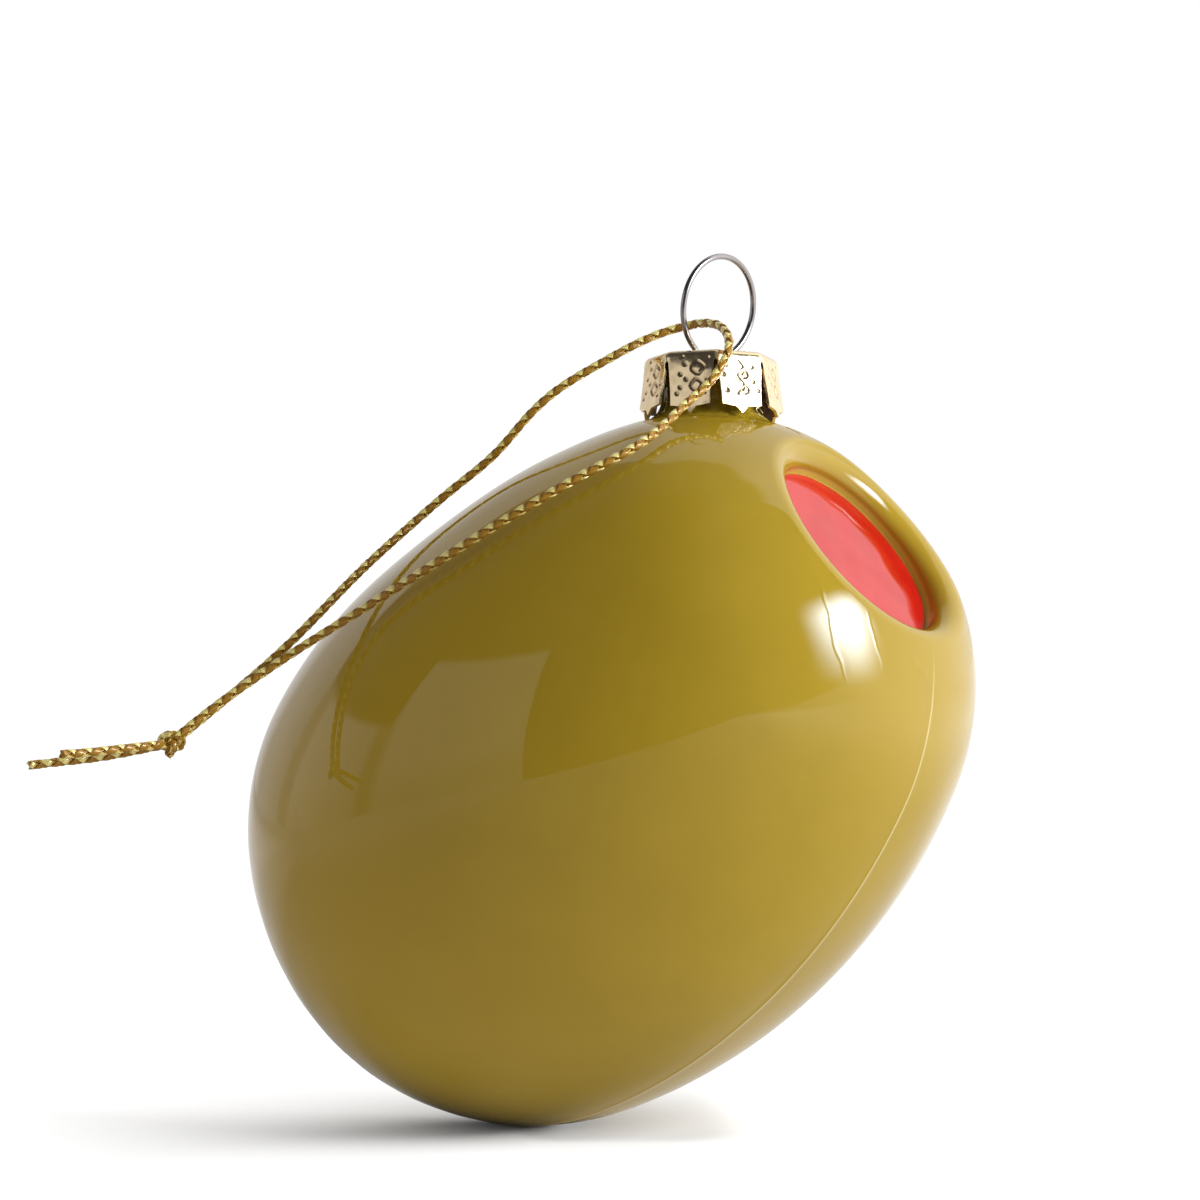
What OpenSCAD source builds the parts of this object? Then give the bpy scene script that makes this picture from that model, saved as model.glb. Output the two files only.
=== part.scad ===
// Blown-glass olive ornament: a hollow glass olive with a dimple and a neck,
// a red enamel disc in the dimple, a pressed crown cap, a spring-wire hanger
// and a knotted loop of metallic cord. Millimetres.
// Everything is drawn about the neck: z = 0 is the neck's rim, +x points
// towards the dimple. posed() then sets the ornament down as it leans and
// puts the origin where a hook bears inside the wire loop.

/* [Olive] */
// Largest diameter of the olive
olive_d = 61; // [54:0.5:68]
// Half-length from the widest section to the pole at the dimple end
olive_front = 42.5; // [39:0.5:46]
// Half-length from the widest section to the plain end
olive_back = 38.5; // [35:0.5:42]
// How much tighter the end with the dimple is rounded than the middle
front_taper = 3.5; // [1:0.1:6]
// How much tighter the plain end is rounded than the middle
back_taper = 1.5; // [1:0.1:6]
// Slope of the long axis above the plane square to the neck
olive_tilt = 34; // [20:1:45]
// Thickness of the glass
glass_t = 1.1; // [0.8:0.1:1.4]

/* [Dimple] */
// Diameter of the dimple between its walls
dimple_d = 20.8; // [16:0.2:23]
// Depth of the dimple from the crest of its lip to the glass floor
dimple_depth = 3.6; // [2.6:0.1:4.4]
// Roundness of the lip
lip_r = 1.6; // [1.5:0.1:2.2]
// Thickness of the red enamel
enamel_t = 0.4; // [0.2:0.1:1]
// Bare glass left between the enamel and the dimple's wall
enamel_margin = 0.2; // [0.1:0.05:0.5]

/* [Neck] */
// Outer diameter of the neck
neck_d = 10; // [9.4:0.1:12]
// Thickness of the neck's wall
neck_t = 0.9; // [0.6:0.05:1]
// Height of the neck above the glass at its axis
neck_h = 5.5; // [4.5:0.1:8]
// Distance of the neck's axis from the middle of the olive
neck_offset = 13.8; // [9:0.2:16]
// How far the neck's root spreads into the shoulder
root_spread = 1.8; // [1:0.1:2.4]

/* [Cap] */
// Number of petals around the crown
petals = 8; // [8:1:10]
// Room between the neck and the inside of the crown, at its top
cap_room = 0.84; // [0.5:0.02:1.6]
// Thickness of the pressed sheet
cap_t = 0.3; // [0.2:0.05:0.4]
// Width of the slit between two petals, at its top
slit_w = 0.3; // [0.2:0.05:0.8]
// Room between the petals' tips and the shoulder of the glass
skirt_room = 0.65; // [0.5:0.05:1.5]
// How far the pointed tip stands below a petal's edge
petal_tip = 0.6; // [0:0.1:0.8]
// Outward slope of the petals
petal_flare = 7.6; // [4:0.2:12]
// Turn of the crown on the neck
cap_turn = -7; // [-22:1:22]

/* [Hanger] */
// Diameter of the spring wire
wire_d = 0.6; // [0.4:0.05:0.7]
// Diameter of the loop at the middle of its wire
loop_d = 10.2; // [9.4:0.2:12]
// Distance between the two legs at the cap
leg_gap = 4.6; // [4:0.1:5]
// Radius of the bend from a leg into the loop
shoulder_r = 1; // [0.6:0.1:1.4]
// Length of a leg below the cap
leg_len = 8.7; // [6:0.1:10]
// Length of a leg that is straight, before it springs outwards
leg_straight = 2.2; // [1:0.1:3]
// Room between the ends of the legs and the bore of the neck
leg_clear = 0.24; // [0.1:0.02:0.4]
// Room around the wire in its two holes
hole_clear = 0.2; // [0.15:0.05:0.3]
// Turn of the loop's plane about the neck
loop_turn = 82; // [70:1:95]
// Lean of the loop from the neck's axis
loop_lean = 11; // [0:1:12]

/* [Cord] */
// Diameter of the metallic cord
cord_d = 1; // [0.7:0.05:1.1]
// Diameter of the knot
knot_d = 2.9; // [2.6:0.1:3.4]

/* [Pose] */
// How far the neck leans back from upright
lean_back = 10; // [0:1:20]
// Turn of the dimple towards the front
front_turn = 35; // [0:1:60]

/* [Hidden] */
$fn = 96;

GLASS_COLOR = [0.55, 0.47, 0.16];
ENAMEL_COLOR = [0.86, 0.13, 0.10];
CAP_COLOR = [0.83, 0.74, 0.55];
WIRE_COLOR = [0.78, 0.77, 0.78];
CORD_COLOR = [0.80, 0.64, 0.18];

// Olive: each half is a side arc that runs tangent into its end arc
olive_r = olive_d / 2;
front_end_r = olive_r - front_taper;
back_end_r = olive_r - back_taper;
function end_centre(half, end_r) = half - end_r;
function side_r(half, end_r) =
    (pow(end_centre(half, end_r), 2) + pow(olive_r, 2) - pow(end_r, 2))
    / (2 * (olive_r - end_r));
function tangent_s(half, end_r, inset) =
    (side_r(half, end_r) - inset) * end_centre(half, end_r) / (side_r(half, end_r) - end_r);

// Dimple: the lip's circle touches the front end arc from inside
front_c = end_centre(olive_front, front_end_r);
dimple_r = dimple_d / 2;
lip_c = dimple_r + lip_r;
lip_s = front_c + sqrt(pow(front_end_r - lip_r, 2) - pow(lip_c, 2));
floor_s = lip_s + lip_r - dimple_depth;
lip_slope = atan2(lip_c, lip_s - front_c);

// Height of the glass over the olive's middle, at a distance x along the shoulder
side_drop = side_r(olive_front, front_end_r) - olive_r;
function on_end_arc(x) = front_c * sin(olive_tilt)
    + sqrt(pow(front_end_r, 2) - pow(front_c * cos(olive_tilt) - x, 2));
function on_side_arc(x) = -side_drop * cos(olive_tilt)
    + sqrt(pow(side_r(olive_front, front_end_r), 2)
           - pow(x - side_drop * sin(olive_tilt), 2));
function shoulder(x) =
    x * cos(olive_tilt) + on_end_arc(x) * sin(olive_tilt)
    > tangent_s(olive_front, front_end_r, 0) ? on_end_arc(x) : on_side_arc(x);
seat_h = shoulder(neck_offset) + neck_h;

neck_r = neck_d / 2;
bore_r = neck_r - neck_t;
root_h = 3;

// Crown cap: a flat-topped polygon with one petal on each side, which ends
// clear of the higher side of the shoulder
petal_step = 360 / petals;
cap_apothem = neck_r + cap_room + cap_t;
corner_r = cap_apothem / cos(petal_step / 2);
petal_w = 2 * cap_apothem * tan(petal_step / 2) - slit_w;
skirt_r = cap_apothem + neck_h * tan(petal_flare);
shoulder_h = max(shoulder(neck_offset - skirt_r), shoulder(neck_offset + skirt_r));
petal_reach = (cap_t + seat_h - shoulder_h - skirt_room) / cos(petal_flare);
petal_h = petal_reach - petal_tip;
tip_w = petal_w / 4;
tip_drop = petal_tip / 4;

// Hanger: the legs bend outwards into the loop, tangent at both ends
wire_r = wire_d / 2;
loop_r = loop_d / 2;
leg_x = leg_gap / 2;
pivot_z = cap_t / 2;
bend_z = cap_t;
bend_x = leg_x + shoulder_r;
loop_rise = sqrt(pow(loop_r + shoulder_r, 2) - pow(bend_x, 2));
loop_z = bend_z + loop_rise;
bend_angle = atan2(loop_rise, bend_x);
leg_reach = bore_r - wire_r - leg_clear;
leg_end_x = sqrt(pow(leg_reach, 2) - pow(leg_len * sin(loop_lean), 2));
bow_rise = leg_len - leg_straight;
bow_run = leg_end_x - leg_x;
leg_bow_r = (pow(bow_rise, 2) + pow(bow_run, 2)) / (2 * bow_run);
leg_bow = asin(bow_rise / leg_bow_r);
bead_r = wire_r + 0.02;
bead_gap = 0.02;
eye_z = loop_z - pivot_z + loop_r - wire_r;

// Pose: the eye is where a hook bears, at the top inside the wire loop
function about_x(p, a) = [p.x, p.y * cos(a) - p.z * sin(a), p.y * sin(a) + p.z * cos(a)];
function about_z(p, a) = [p.x * cos(a) - p.y * sin(a), p.x * sin(a) + p.y * cos(a), p.z];
eye = [0, 0, pivot_z] + about_z(about_x([0, 0, eye_z], loop_lean), loop_turn);
eye_posed = about_x(about_z(eye, -front_turn), -lean_back);

// Cord: control points of a smooth curve, from the knot up the front strand,
// through the wire loop and back down the rear strand
LOOP_ROUTE = [
    [-38.8, -36.2, -38.4], [-36.2, -33.4, -35.2], [-33.6, -31.2, -32.8], [-30.8, -28.8, -30.2],
    [-26.8, -27, -27.6], [-21.4, -26, -24.8], [-14.8, -26.2, -22], [-9.2, -24.8, -18.8],
    [-4, -22.8, -15.8], [-0.4, -20.6, -13.4], [3.2, -17.6, -11], [3.6, -13.4, -8.4],
    [4, -10.4, -5.8], [5, -8, -4], [5.8, -6.4, -1.6], [6, -5.4, 0.4],
    [4.2, -3.4, 2.2], [2, -1.8, 3.4], [-0.4, -1, 3.8], [-1.8, -0.6, 3.8],
    [-4.2, -2, 3.2], [-6.4, -4.6, 1.6], [-8.4, -6.8, -0.2], [-12, -9.6, -2.8],
    [-15, -11, -5.8], [-18, -11.6, -9.4], [-22.4, -13.2, -12.6], [-25.6, -15.6, -16.2],
    [-27.6, -21.4, -21.2], [-29.6, -25.6, -26], [-32.2, -28, -29.6], [-34.4, -30.2, -32.4],
    [-36.8, -32.4, -35.2], [-39.4, -35.2, -38.4]];
KNOT = [-39.7, -36, -38.9];
KNOT_TURN = [0, 116, 238];
KNOT_TAPER = 0.2;
SHORT_ROUTE = [[-39.7, -37.1, -39.1], [-40.2, -39.4, -39.5], [-41.4, -41.9, -39.9],
               [-42.8, -44.7, -40.4], [-44.2, -47.3, -40.7]];
LONG_ROUTE = [[-40.4, -36.3, -39.1], [-41.9, -38.8, -39.8], [-43.9, -41.8, -40.6],
              [-46, -44.8, -41.1], [-47.9, -47.7, -41.6]];
wrap_step = 0.85 * cord_d;
CORD_SIDES = 8;
LOOP_STEPS = 2;
TAIL_STEPS = 1;

function unit(v) = v / norm(v);
function spline_point(a, b, c, d, t) =
    (pow(1 - t, 3) * a + (3 * pow(t, 3) - 6 * pow(t, 2) + 4) * b
     + (-3 * pow(t, 3) + 3 * pow(t, 2) + 3 * t + 1) * c + pow(t, 3) * d) / 6;
// Points of the smooth curve, with its two ends on the first and last control points
function smooth(p, steps) =
    let (n = len(p), q = concat([2 * p[0] - p[1]], p, [2 * p[n - 1] - p[n - 2]]))
    concat([for (i = [0 : n - 2], k = [0 : steps - 1])
                spline_point(q[i], q[i + 1], q[i + 2], q[i + 3], k / steps)],
           [p[n - 1]]);
function tangent(p, i) = unit(p[min(i + 1, len(p) - 1)] - p[max(i - 1, 0)]);
function squared(v, t) = unit(v - (v * t) * t);
// One sideways direction per point, carried along the curve without twisting
function carried(p) =
    [for (i = 0, v = squared([0, 0, 1], tangent(p, 0)); i < len(p);
          i = i + 1, v = squared(v, tangent(p, min(i, len(p) - 1)))) v];

// A round tube of diameter d swept along the points p
module tube(p, d, sides) {
    n = len(p);
    across = carried(p);
    ring = [for (i = [0 : n - 1], k = [0 : sides - 1])
        let (a = 360 * k / sides, other = cross(tangent(p, i), across[i]))
        p[i] + d / 2 * (cos(a) * across[i] + sin(a) * other)];
    function at(i, k) = i * sides + k % sides;
    walls = [for (i = [0 : n - 2], k = [0 : sides - 1], half = [0, 1])
        half == 0 ? [at(i, k), at(i + 1, k), at(i + 1, k + 1)]
                  : [at(i, k), at(i + 1, k + 1), at(i, k + 1)]];
    ends = [[for (k = [0 : sides - 1]) at(0, k)],
            [for (k = [sides - 1 : -1 : 0]) at(n - 1, k)]];
    polyhedron(ring, concat(walls, ends));
}

module posed() {
    translate(-eye_posed)
        rotate([-lean_back, 0, 0])
            rotate([0, 0, -front_turn])
                children();
}

// From the olive's own axis, with its middle at the origin, to the neck
module at_olive() {
    translate([-neck_offset, 0, -seat_h])
        rotate([0, 90 - olive_tilt, 0])
            children();
}

// From the hanger's upright shape, hinged at the cap, to its leaning place
module at_hanger() {
    translate([0, 0, pivot_z])
        rotate([0, 0, loop_turn])
            rotate([loop_lean, 0, 0])
                children();
}

// One half of the olive's section, drawn in by inset
module olive_half(half, end_r, inset) {
    intersection() {
        translate([olive_r - side_r(half, end_r), 0])
            circle(r = side_r(half, end_r) - inset);
        square([olive_r, tangent_s(half, end_r, inset)]);
    }
    intersection() {
        translate([0, end_centre(half, end_r)])
            circle(r = end_r - inset);
        square([olive_r, half]);
    }
}

// The olive's section with its dimple and rounded lip, drawn in by inset
module olive_section(inset) {
    wall = dimple_r + inset;
    floor_level = floor_s - inset;
    beyond = olive_front;
    difference() {
        union() {
            olive_half(olive_front, front_end_r, inset);
            mirror([0, 1])
                olive_half(olive_back, back_end_r, inset);
        }
        polygon([[-1, floor_level], [wall, floor_level], [wall, lip_s], [lip_c, lip_s],
                 [lip_c + beyond * sin(lip_slope), lip_s + beyond * cos(lip_slope)],
                 [-1, lip_s + beyond]]);
    }
    translate([lip_c, lip_s])
        circle(r = lip_r - inset);
}

module glass_olive() {
    color(GLASS_COLOR)
        posed()
            difference() {
                union() {
                    at_olive()
                        rotate_extrude()
                            olive_section(0);
                    translate([0, 0, -neck_h - glass_t])
                        cylinder(h = neck_h + glass_t, r = neck_r);
                    translate([0, 0, -neck_h - root_h / 2])
                        cylinder(h = root_h, r1 = neck_r + root_spread, r2 = neck_r);
                }
                at_olive()
                    rotate_extrude()
                        olive_section(glass_t);
                translate([0, 0, -neck_h - root_h])
                    cylinder(h = 2 * neck_h + root_h, r = bore_r);
            }
}

module pimento_enamel() {
    color(ENAMEL_COLOR)
        posed()
            at_olive()
                translate([0, 0, floor_s])
                    cylinder(h = enamel_t, r1 = dimple_r - enamel_margin,
                             r2 = dimple_r - enamel_margin - enamel_t / 2);
}

// One flat petal with a pointed tip, its top edge on the y axis
module petal() {
    edge = petal_h - tip_drop;
    translate([-cap_t, 0, 0])
        rotate([90, 0, 90])
            linear_extrude(cap_t)
                polygon([[-petal_w / 2, 0], [petal_w / 2, 0], [petal_w / 2, -edge],
                         [tip_w / 2, -petal_h], [0, -petal_h - petal_tip],
                         [-tip_w / 2, -petal_h], [-petal_w / 2, -edge]]);
}

module crown_cap() {
    color(CAP_COLOR)
        posed()
            difference() {
                rotate([0, 0, cap_turn])
                    union() {
                        linear_extrude(cap_t)
                            polygon([for (k = [0 : petals - 1])
                                corner_r * [cos(k * petal_step), sin(k * petal_step)]]);
                        for (k = [0 : petals - 1])
                            rotate([0, 0, (k + 0.5) * petal_step])
                                translate([cap_apothem, 0, cap_t])
                                    rotate([0, -petal_flare, 0])
                                        petal();
                    }
                for (side = [-1, 1])
                    rotate([0, 0, loop_turn])
                        translate([side * leg_x, 0, -cap_t])
                            cylinder(h = 3 * cap_t, r = wire_r + hole_clear);
            }
}

// An arc of wire in the xz plane, about the origin, from one angle on.
// Its ends stop a hair short, inside the beads that join the lengths of wire.
module wire_arc(r, from, angle) {
    trim = bead_gap / r * 180 / PI;
    rotate([90, 0, 0])
        rotate([0, 0, from + trim])
            rotate_extrude(angle = angle - 2 * trim)
                translate([r, 0])
                    circle(r = wire_r);
}

module bead(x, z) {
    translate([x, 0, z])
        sphere(r = bead_r);
}

// The right-hand leg: bow, straight and the bend up into the loop
module hanger_leg() {
    bend_start = bend_z - pivot_z;
    translate([bend_x, 0, bend_start])
        wire_arc(shoulder_r, 180 - bend_angle, bend_angle);
    translate([leg_x, 0, bead_gap - leg_straight])
        cylinder(h = leg_straight + bend_start - 2 * bead_gap, r = wire_r);
    translate([leg_x + leg_bow_r, 0, -leg_straight])
        wire_arc(leg_bow_r, 180, leg_bow);
    bead(bend_x - shoulder_r * cos(bend_angle), bend_start + shoulder_r * sin(bend_angle));
    bead(leg_x, bend_start);
    bead(leg_x, -leg_straight);
}

module spring_hanger() {
    color(WIRE_COLOR)
        posed()
            at_hanger() {
                translate([0, 0, loop_z - pivot_z])
                    wire_arc(loop_r, -bend_angle, 180 + 2 * bend_angle);
                hanger_leg();
                mirror([1, 0, 0])
                    hanger_leg();
            }
}

module cord_loop() {
    color(CORD_COLOR)
        posed()
            tube(smooth(LOOP_ROUTE, LOOP_STEPS), cord_d, CORD_SIDES);
}

// A tight knot: three wraps of cord drawn up against each other on a core
module cord_knot() {
    wrap_r = (knot_d - cord_d) / 2;
    color(CORD_COLOR)
        posed()
            translate(KNOT)
                rotate(KNOT_TURN)
                    rotate_extrude() {
                        translate([wrap_r, 0])
                            circle(d = cord_d);
                        for (side = [-1, 1])
                            translate([wrap_r - KNOT_TAPER, side * wrap_step])
                                circle(d = cord_d);
                        translate([0, -wrap_step - cord_d / 4])
                            square([wrap_r, 2 * wrap_step + cord_d / 2]);
                    }
}

module cord_tail_short() {
    color(CORD_COLOR)
        posed()
            tube(smooth(SHORT_ROUTE, TAIL_STEPS), cord_d, CORD_SIDES);
}

module cord_tail_long() {
    color(CORD_COLOR)
        posed()
            tube(smooth(LONG_ROUTE, TAIL_STEPS), cord_d, CORD_SIDES);
}

glass_olive();
pimento_enamel();
crown_cap();
spring_hanger();
cord_loop();
cord_knot();
cord_tail_short();
cord_tail_long();
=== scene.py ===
"""Looks of the blown-glass olive ornament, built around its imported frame.

Shapes are worked out in millimetres about the neck: z = 0 is the neck's rim and +x points
towards the dimple, with y across. NeckFrame sets them down in the part's frame, in metres.
"""

from __future__ import annotations

import logging
import math
from dataclasses import dataclass, field
from enum import Enum
from typing import Any, Callable, Sequence

import bmesh
import bpy
import numpy as np
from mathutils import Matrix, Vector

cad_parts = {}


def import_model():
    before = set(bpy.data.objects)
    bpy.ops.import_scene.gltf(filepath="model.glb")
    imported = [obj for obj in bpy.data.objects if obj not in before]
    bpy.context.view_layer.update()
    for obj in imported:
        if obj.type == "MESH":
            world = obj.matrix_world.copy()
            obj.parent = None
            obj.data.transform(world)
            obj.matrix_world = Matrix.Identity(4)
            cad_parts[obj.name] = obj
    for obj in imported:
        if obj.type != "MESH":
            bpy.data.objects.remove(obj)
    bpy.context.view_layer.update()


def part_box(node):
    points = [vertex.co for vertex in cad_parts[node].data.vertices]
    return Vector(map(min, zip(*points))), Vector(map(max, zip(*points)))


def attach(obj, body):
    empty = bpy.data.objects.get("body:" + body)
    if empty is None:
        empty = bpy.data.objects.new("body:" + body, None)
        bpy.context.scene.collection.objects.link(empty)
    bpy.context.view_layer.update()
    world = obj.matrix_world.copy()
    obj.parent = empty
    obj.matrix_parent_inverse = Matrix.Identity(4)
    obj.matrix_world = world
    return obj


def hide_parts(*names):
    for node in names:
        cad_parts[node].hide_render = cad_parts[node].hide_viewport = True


LOG = logging.getLogger("glass_olive")
MM = 0.001
ASIDE = np.array([0.0, 1.0, 0.0])
Array = np.ndarray
Colour = tuple[float, float, float, float]
Pair = tuple[float, float]
Triple = tuple[float, float, float]
Socket = bpy.types.NodeSocket
Stamp = tuple[Callable[[Array, Array, float], Array], float, tuple[Pair, ...]]
WHITE: Colour = (1.0, 1.0, 1.0, 1.0)


class Body(Enum):
    """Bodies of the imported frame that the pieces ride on."""

    OLIVE = "olive"
    CAP = "cap"
    HANGER = "hanger"
    CORD = "cord"


class Motif(Enum):
    """Patterns pressed into the petals of the crown."""

    LOZENGES = "lozenges"
    ZIGZAG = "zigzag"


def rotation(axis: str, degrees: float) -> Array:
    """Rotation matrix about x, y or z.

    Args:
        axis: the axis by its letter.
        degrees: the turn.
    Returns:
        The matrix, which turns columns.
    """
    c, s = math.cos(math.radians(degrees)), math.sin(math.radians(degrees))
    a = ("xyz".index(axis) + 1) % 3
    b = (a + 1) % 3
    matrix = np.eye(3)
    matrix[[a, b], [a, b]] = c
    matrix[a, b], matrix[b, a] = -s, s
    return matrix


def unit(v: Array) -> Array:
    """Vectors scaled to length one along the last axis."""
    return v / np.linalg.norm(v, axis=-1, keepdims=True)


def ease(x: Array | float, low: float, high: float) -> Array:
    """Smooth step from 0 at low to 1 at high."""
    t = np.clip((np.asarray(x, float) - low) / (high - low), 0.0, 1.0)
    return t * t * (3 - 2 * t)


def spread(density: Array, at: Array, count: int) -> Array:
    """Samples packed by a density: equal steps of its running integral.

    Args:
        density: wanted samples per unit, given at each place.
        at: the places, ascending.
        count: number of samples, both ends included.
    Returns:
        The samples, ascending.
    """
    steps = np.diff(at) * (density[1:] + density[:-1]) / 2
    total = np.concatenate([[0.0], np.cumsum(steps)])
    return np.interp(np.linspace(0, total[-1], count), total, at)


@dataclass(frozen=True)
class NeckFrame:
    """Carries points from the neck's frame in millimetres to the part's frame in metres."""

    lean_back: float = 10.0
    front_turn: float = 35.0
    eye: Triple = (1.90469, -0.267687, 10.0451)

    def place(self, points: Array) -> Array:
        """Points about the neck, set down as the ornament leans, with the eye at the origin.

        Args:
            points: array whose last axis is x, y, z in millimetres.
        Returns:
            The same points in the part's frame, in metres.
        """
        pose = rotation("x", -self.lean_back) @ rotation("z", -self.front_turn)
        return (np.asarray(points) - np.array(self.eye)) @ pose.T * MM


NECK = NeckFrame()


@dataclass
class Skin:
    """Vertices, faces and point attributes gathered for one mesh."""

    points: list[Array] = field(default_factory=list)
    faces: list[Array] = field(default_factory=list)
    marks: list[Array] = field(default_factory=list)
    count: int = 0

    def _keep(self, points: Array, mark: Array | None = None) -> int:
        """Adds points and their marks.

        Args:
            points: any array with x, y and z on its last axis.
            mark: values kept on the points, or none.
        Returns:
            Number of the first point.
        """
        first = self.count
        flat = points.reshape(-1, 3)
        self.points.append(flat)
        self.marks.append(np.zeros((len(flat), 3)) if mark is None else mark.reshape(-1, 3))
        self.count += len(flat)
        return first

    def grid(self, points: Array, mark: Array | None = None, wrap: bool = True, ends: bool = False) -> None:
        """A grid of quads: face (i, j) joins rows i, i + 1 and columns j, j + 1.

        Args:
            points: rows by columns by 3.
            mark: values kept on the points, rows by columns by 3.
            wrap: whether the last column joins the first.
            ends: whether the first and last rows are closed by one face each.
        """
        rows, cols = points.shape[:2]
        number = self._keep(points, mark) + np.arange(rows * cols).reshape(rows, cols)
        after = np.roll(number, -1, axis=1) if wrap else number[:, 1:]
        here = number if wrap else number[:, :-1]
        self.faces.append(np.stack([here[:-1], after[:-1], after[1:], here[1:]], axis=-1).reshape(-1, 4))
        if ends:
            self.faces.extend([number[:1, ::-1], number[-1:]])

    def fan(self, tip: Array, ring: Array, flip: bool = False, wrap: bool = True) -> None:
        """Triangles from a tip to a ring of points already shaped.

        Args:
            tip: the point that all the triangles share.
            ring: points round it.
            flip: whether the faces turn the other way.
            wrap: whether the last point joins the first.
        """
        first = self._keep(np.concatenate([tip.reshape(1, 3), ring]))
        rim = first + 1 + np.arange(len(ring))
        after = np.roll(rim, -1)
        if not wrap:
            rim, after = rim[:-1], after[:-1]
        hub = np.full(len(rim), first)
        self.faces.append(np.stack([hub, after, rim] if flip else [hub, rim, after], axis=-1))

    def mesh(self, name: str, merge: float = 0.0, place: bool = True) -> bpy.types.Object:
        """Makes the object, smooth shaded, with the marks as a point attribute.

        Args:
            name: the object's name.
            merge: distance in millimetres under which points become one, or 0.
            place: whether the points are still about the neck.
        Returns:
            The linked object.
        """
        points = np.concatenate(self.points)
        points = NECK.place(points) if place else points
        mesh = bpy.data.meshes.new(name)
        mesh.vertices.add(len(points))
        mesh.vertices.foreach_set("co", points.astype(np.float32).ravel())
        sizes = np.concatenate([np.full(len(f), f.shape[1]) for f in self.faces])
        corners = np.concatenate([f.ravel() for f in self.faces])
        mesh.loops.add(len(corners))
        mesh.loops.foreach_set("vertex_index", corners.astype(np.int32))
        mesh.polygons.add(len(sizes))
        starts = np.concatenate([[0], np.cumsum(sizes)[:-1]])
        mesh.polygons.foreach_set("loop_start", starts.astype(np.int32))
        mesh.update(calc_edges=True)
        marks = mesh.attributes.new("marks", "FLOAT_VECTOR", "POINT")
        marks.data.foreach_set("vector", np.concatenate(self.marks).astype(np.float32).ravel())
        mesh.validate()
        if merge:
            work = bmesh.new()
            work.from_mesh(mesh)
            bmesh.ops.remove_doubles(work, verts=work.verts, dist=merge * MM)
            bmesh.ops.recalc_face_normals(work, faces=work.faces)
            work.to_mesh(mesh)
            work.free()
        mesh.shade_smooth()
        obj = bpy.data.objects.new(name, mesh)
        bpy.context.collection.objects.link(obj)
        return obj


def settle(obj: bpy.types.Object, sharp: float) -> None:
    """Applies a piece's modifiers and keeps its edges crisp past an angle in degrees.

    Args:
        obj: the piece, whose mesh is replaced.
        sharp: angle past which an edge is crisp.
    """
    graph = bpy.context.evaluated_depsgraph_get()
    mesh = bpy.data.meshes.new_from_object(obj.evaluated_get(graph))
    old = obj.data
    obj.modifiers.clear()
    obj.data = mesh
    mesh.name = obj.name
    bpy.data.meshes.remove(old)
    mesh.shade_smooth()
    mesh.set_sharp_from_angle(angle=math.radians(sharp))


def run_along(path: Array) -> Array:
    """Distance along a path at each of its points."""
    return np.concatenate([[0.0], np.cumsum(np.linalg.norm(np.diff(path, axis=0), axis=1))])


@dataclass(frozen=True)
class Route:
    """A smooth curve through space, from control points of a uniform cubic B-spline."""

    control: Array

    def dense(self, steps: int = 48) -> Array:
        """Points of the curve, which starts and ends on its first and last control points.

        Each span is the B-spline blend of four neighbours, with one control point mirrored
        beyond each end.

        Args:
            steps: points in each span.
        Returns:
            The points, in order.
        """
        p = np.asarray(self.control, float)
        q = np.concatenate([[2 * p[0] - p[1]], p, [2 * p[-1] - p[-2]]])
        t = np.linspace(0, 1, steps, endpoint=False)[:, None]
        blend = np.concatenate(
            [(1 - t) ** 3, 3 * t**3 - 6 * t**2 + 4, -3 * t**3 + 3 * t**2 + 3 * t + 1, t**3], axis=1
        ) / 6
        spans = np.stack([q[k : len(q) - 3 + k] for k in range(4)], axis=1)
        curve = np.einsum("tk,skx->stx", blend, spans).reshape(-1, 3)
        return np.concatenate([curve, p[-1:]])

    def even(self, step: float) -> Array:
        """Points of the curve an equal step apart along it.

        Args:
            step: the distance, as near as it divides.
        Returns:
            The points, both ends included.
        """
        curve = self.dense()
        run = run_along(curve)
        at = np.linspace(0, run[-1], max(8, int(round(run[-1] / step)) + 1))
        return np.stack([np.interp(at, run, curve[:, k]) for k in range(3)], axis=1)


def frames(path: Array, reference: Array | None = None) -> tuple[Array, Array, Array]:
    """Directions along and across a path, squared to one reference direction.

    Args:
        path: points along the path.
        reference: direction that the path never runs along; by default the direction that
            the path leaves flattest.
    Returns:
        Tangents and two directions square to them and each other.
    """
    along = unit(np.gradient(path, axis=0))
    if reference is None:
        reference = np.linalg.svd(path - path.mean(axis=0))[2][2]
    across = unit(reference - (along @ reference)[:, None] * along)
    return along, across, np.cross(along, across)


def carried(path: Array) -> tuple[Array, Array, Array]:
    """Directions along and across a path that turns every way, carried along without twist.

    Each step turns the last sideways direction by the same rotation as the tangent, which
    two mirrorings make.

    Args:
        path: points along the path.
    Returns:
        Tangents and two directions square to them and each other.
    """
    along = unit(np.gradient(path, axis=0))
    across = np.zeros_like(along)
    across[0] = unit(np.cross(along[0], along[0][[1, 2, 0]]))
    for k in range(len(path) - 1):
        step = path[k + 1] - path[k]
        share = 2 / (step @ step)
        side = across[k] - share * (step @ across[k]) * step
        ahead = along[k] - share * (step @ along[k]) * step
        turn = along[k + 1] - ahead
        across[k + 1] = side - 2 / max(turn @ turn, 1e-12) * (turn @ side) * turn
    return along, across, np.cross(along, across)


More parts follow.
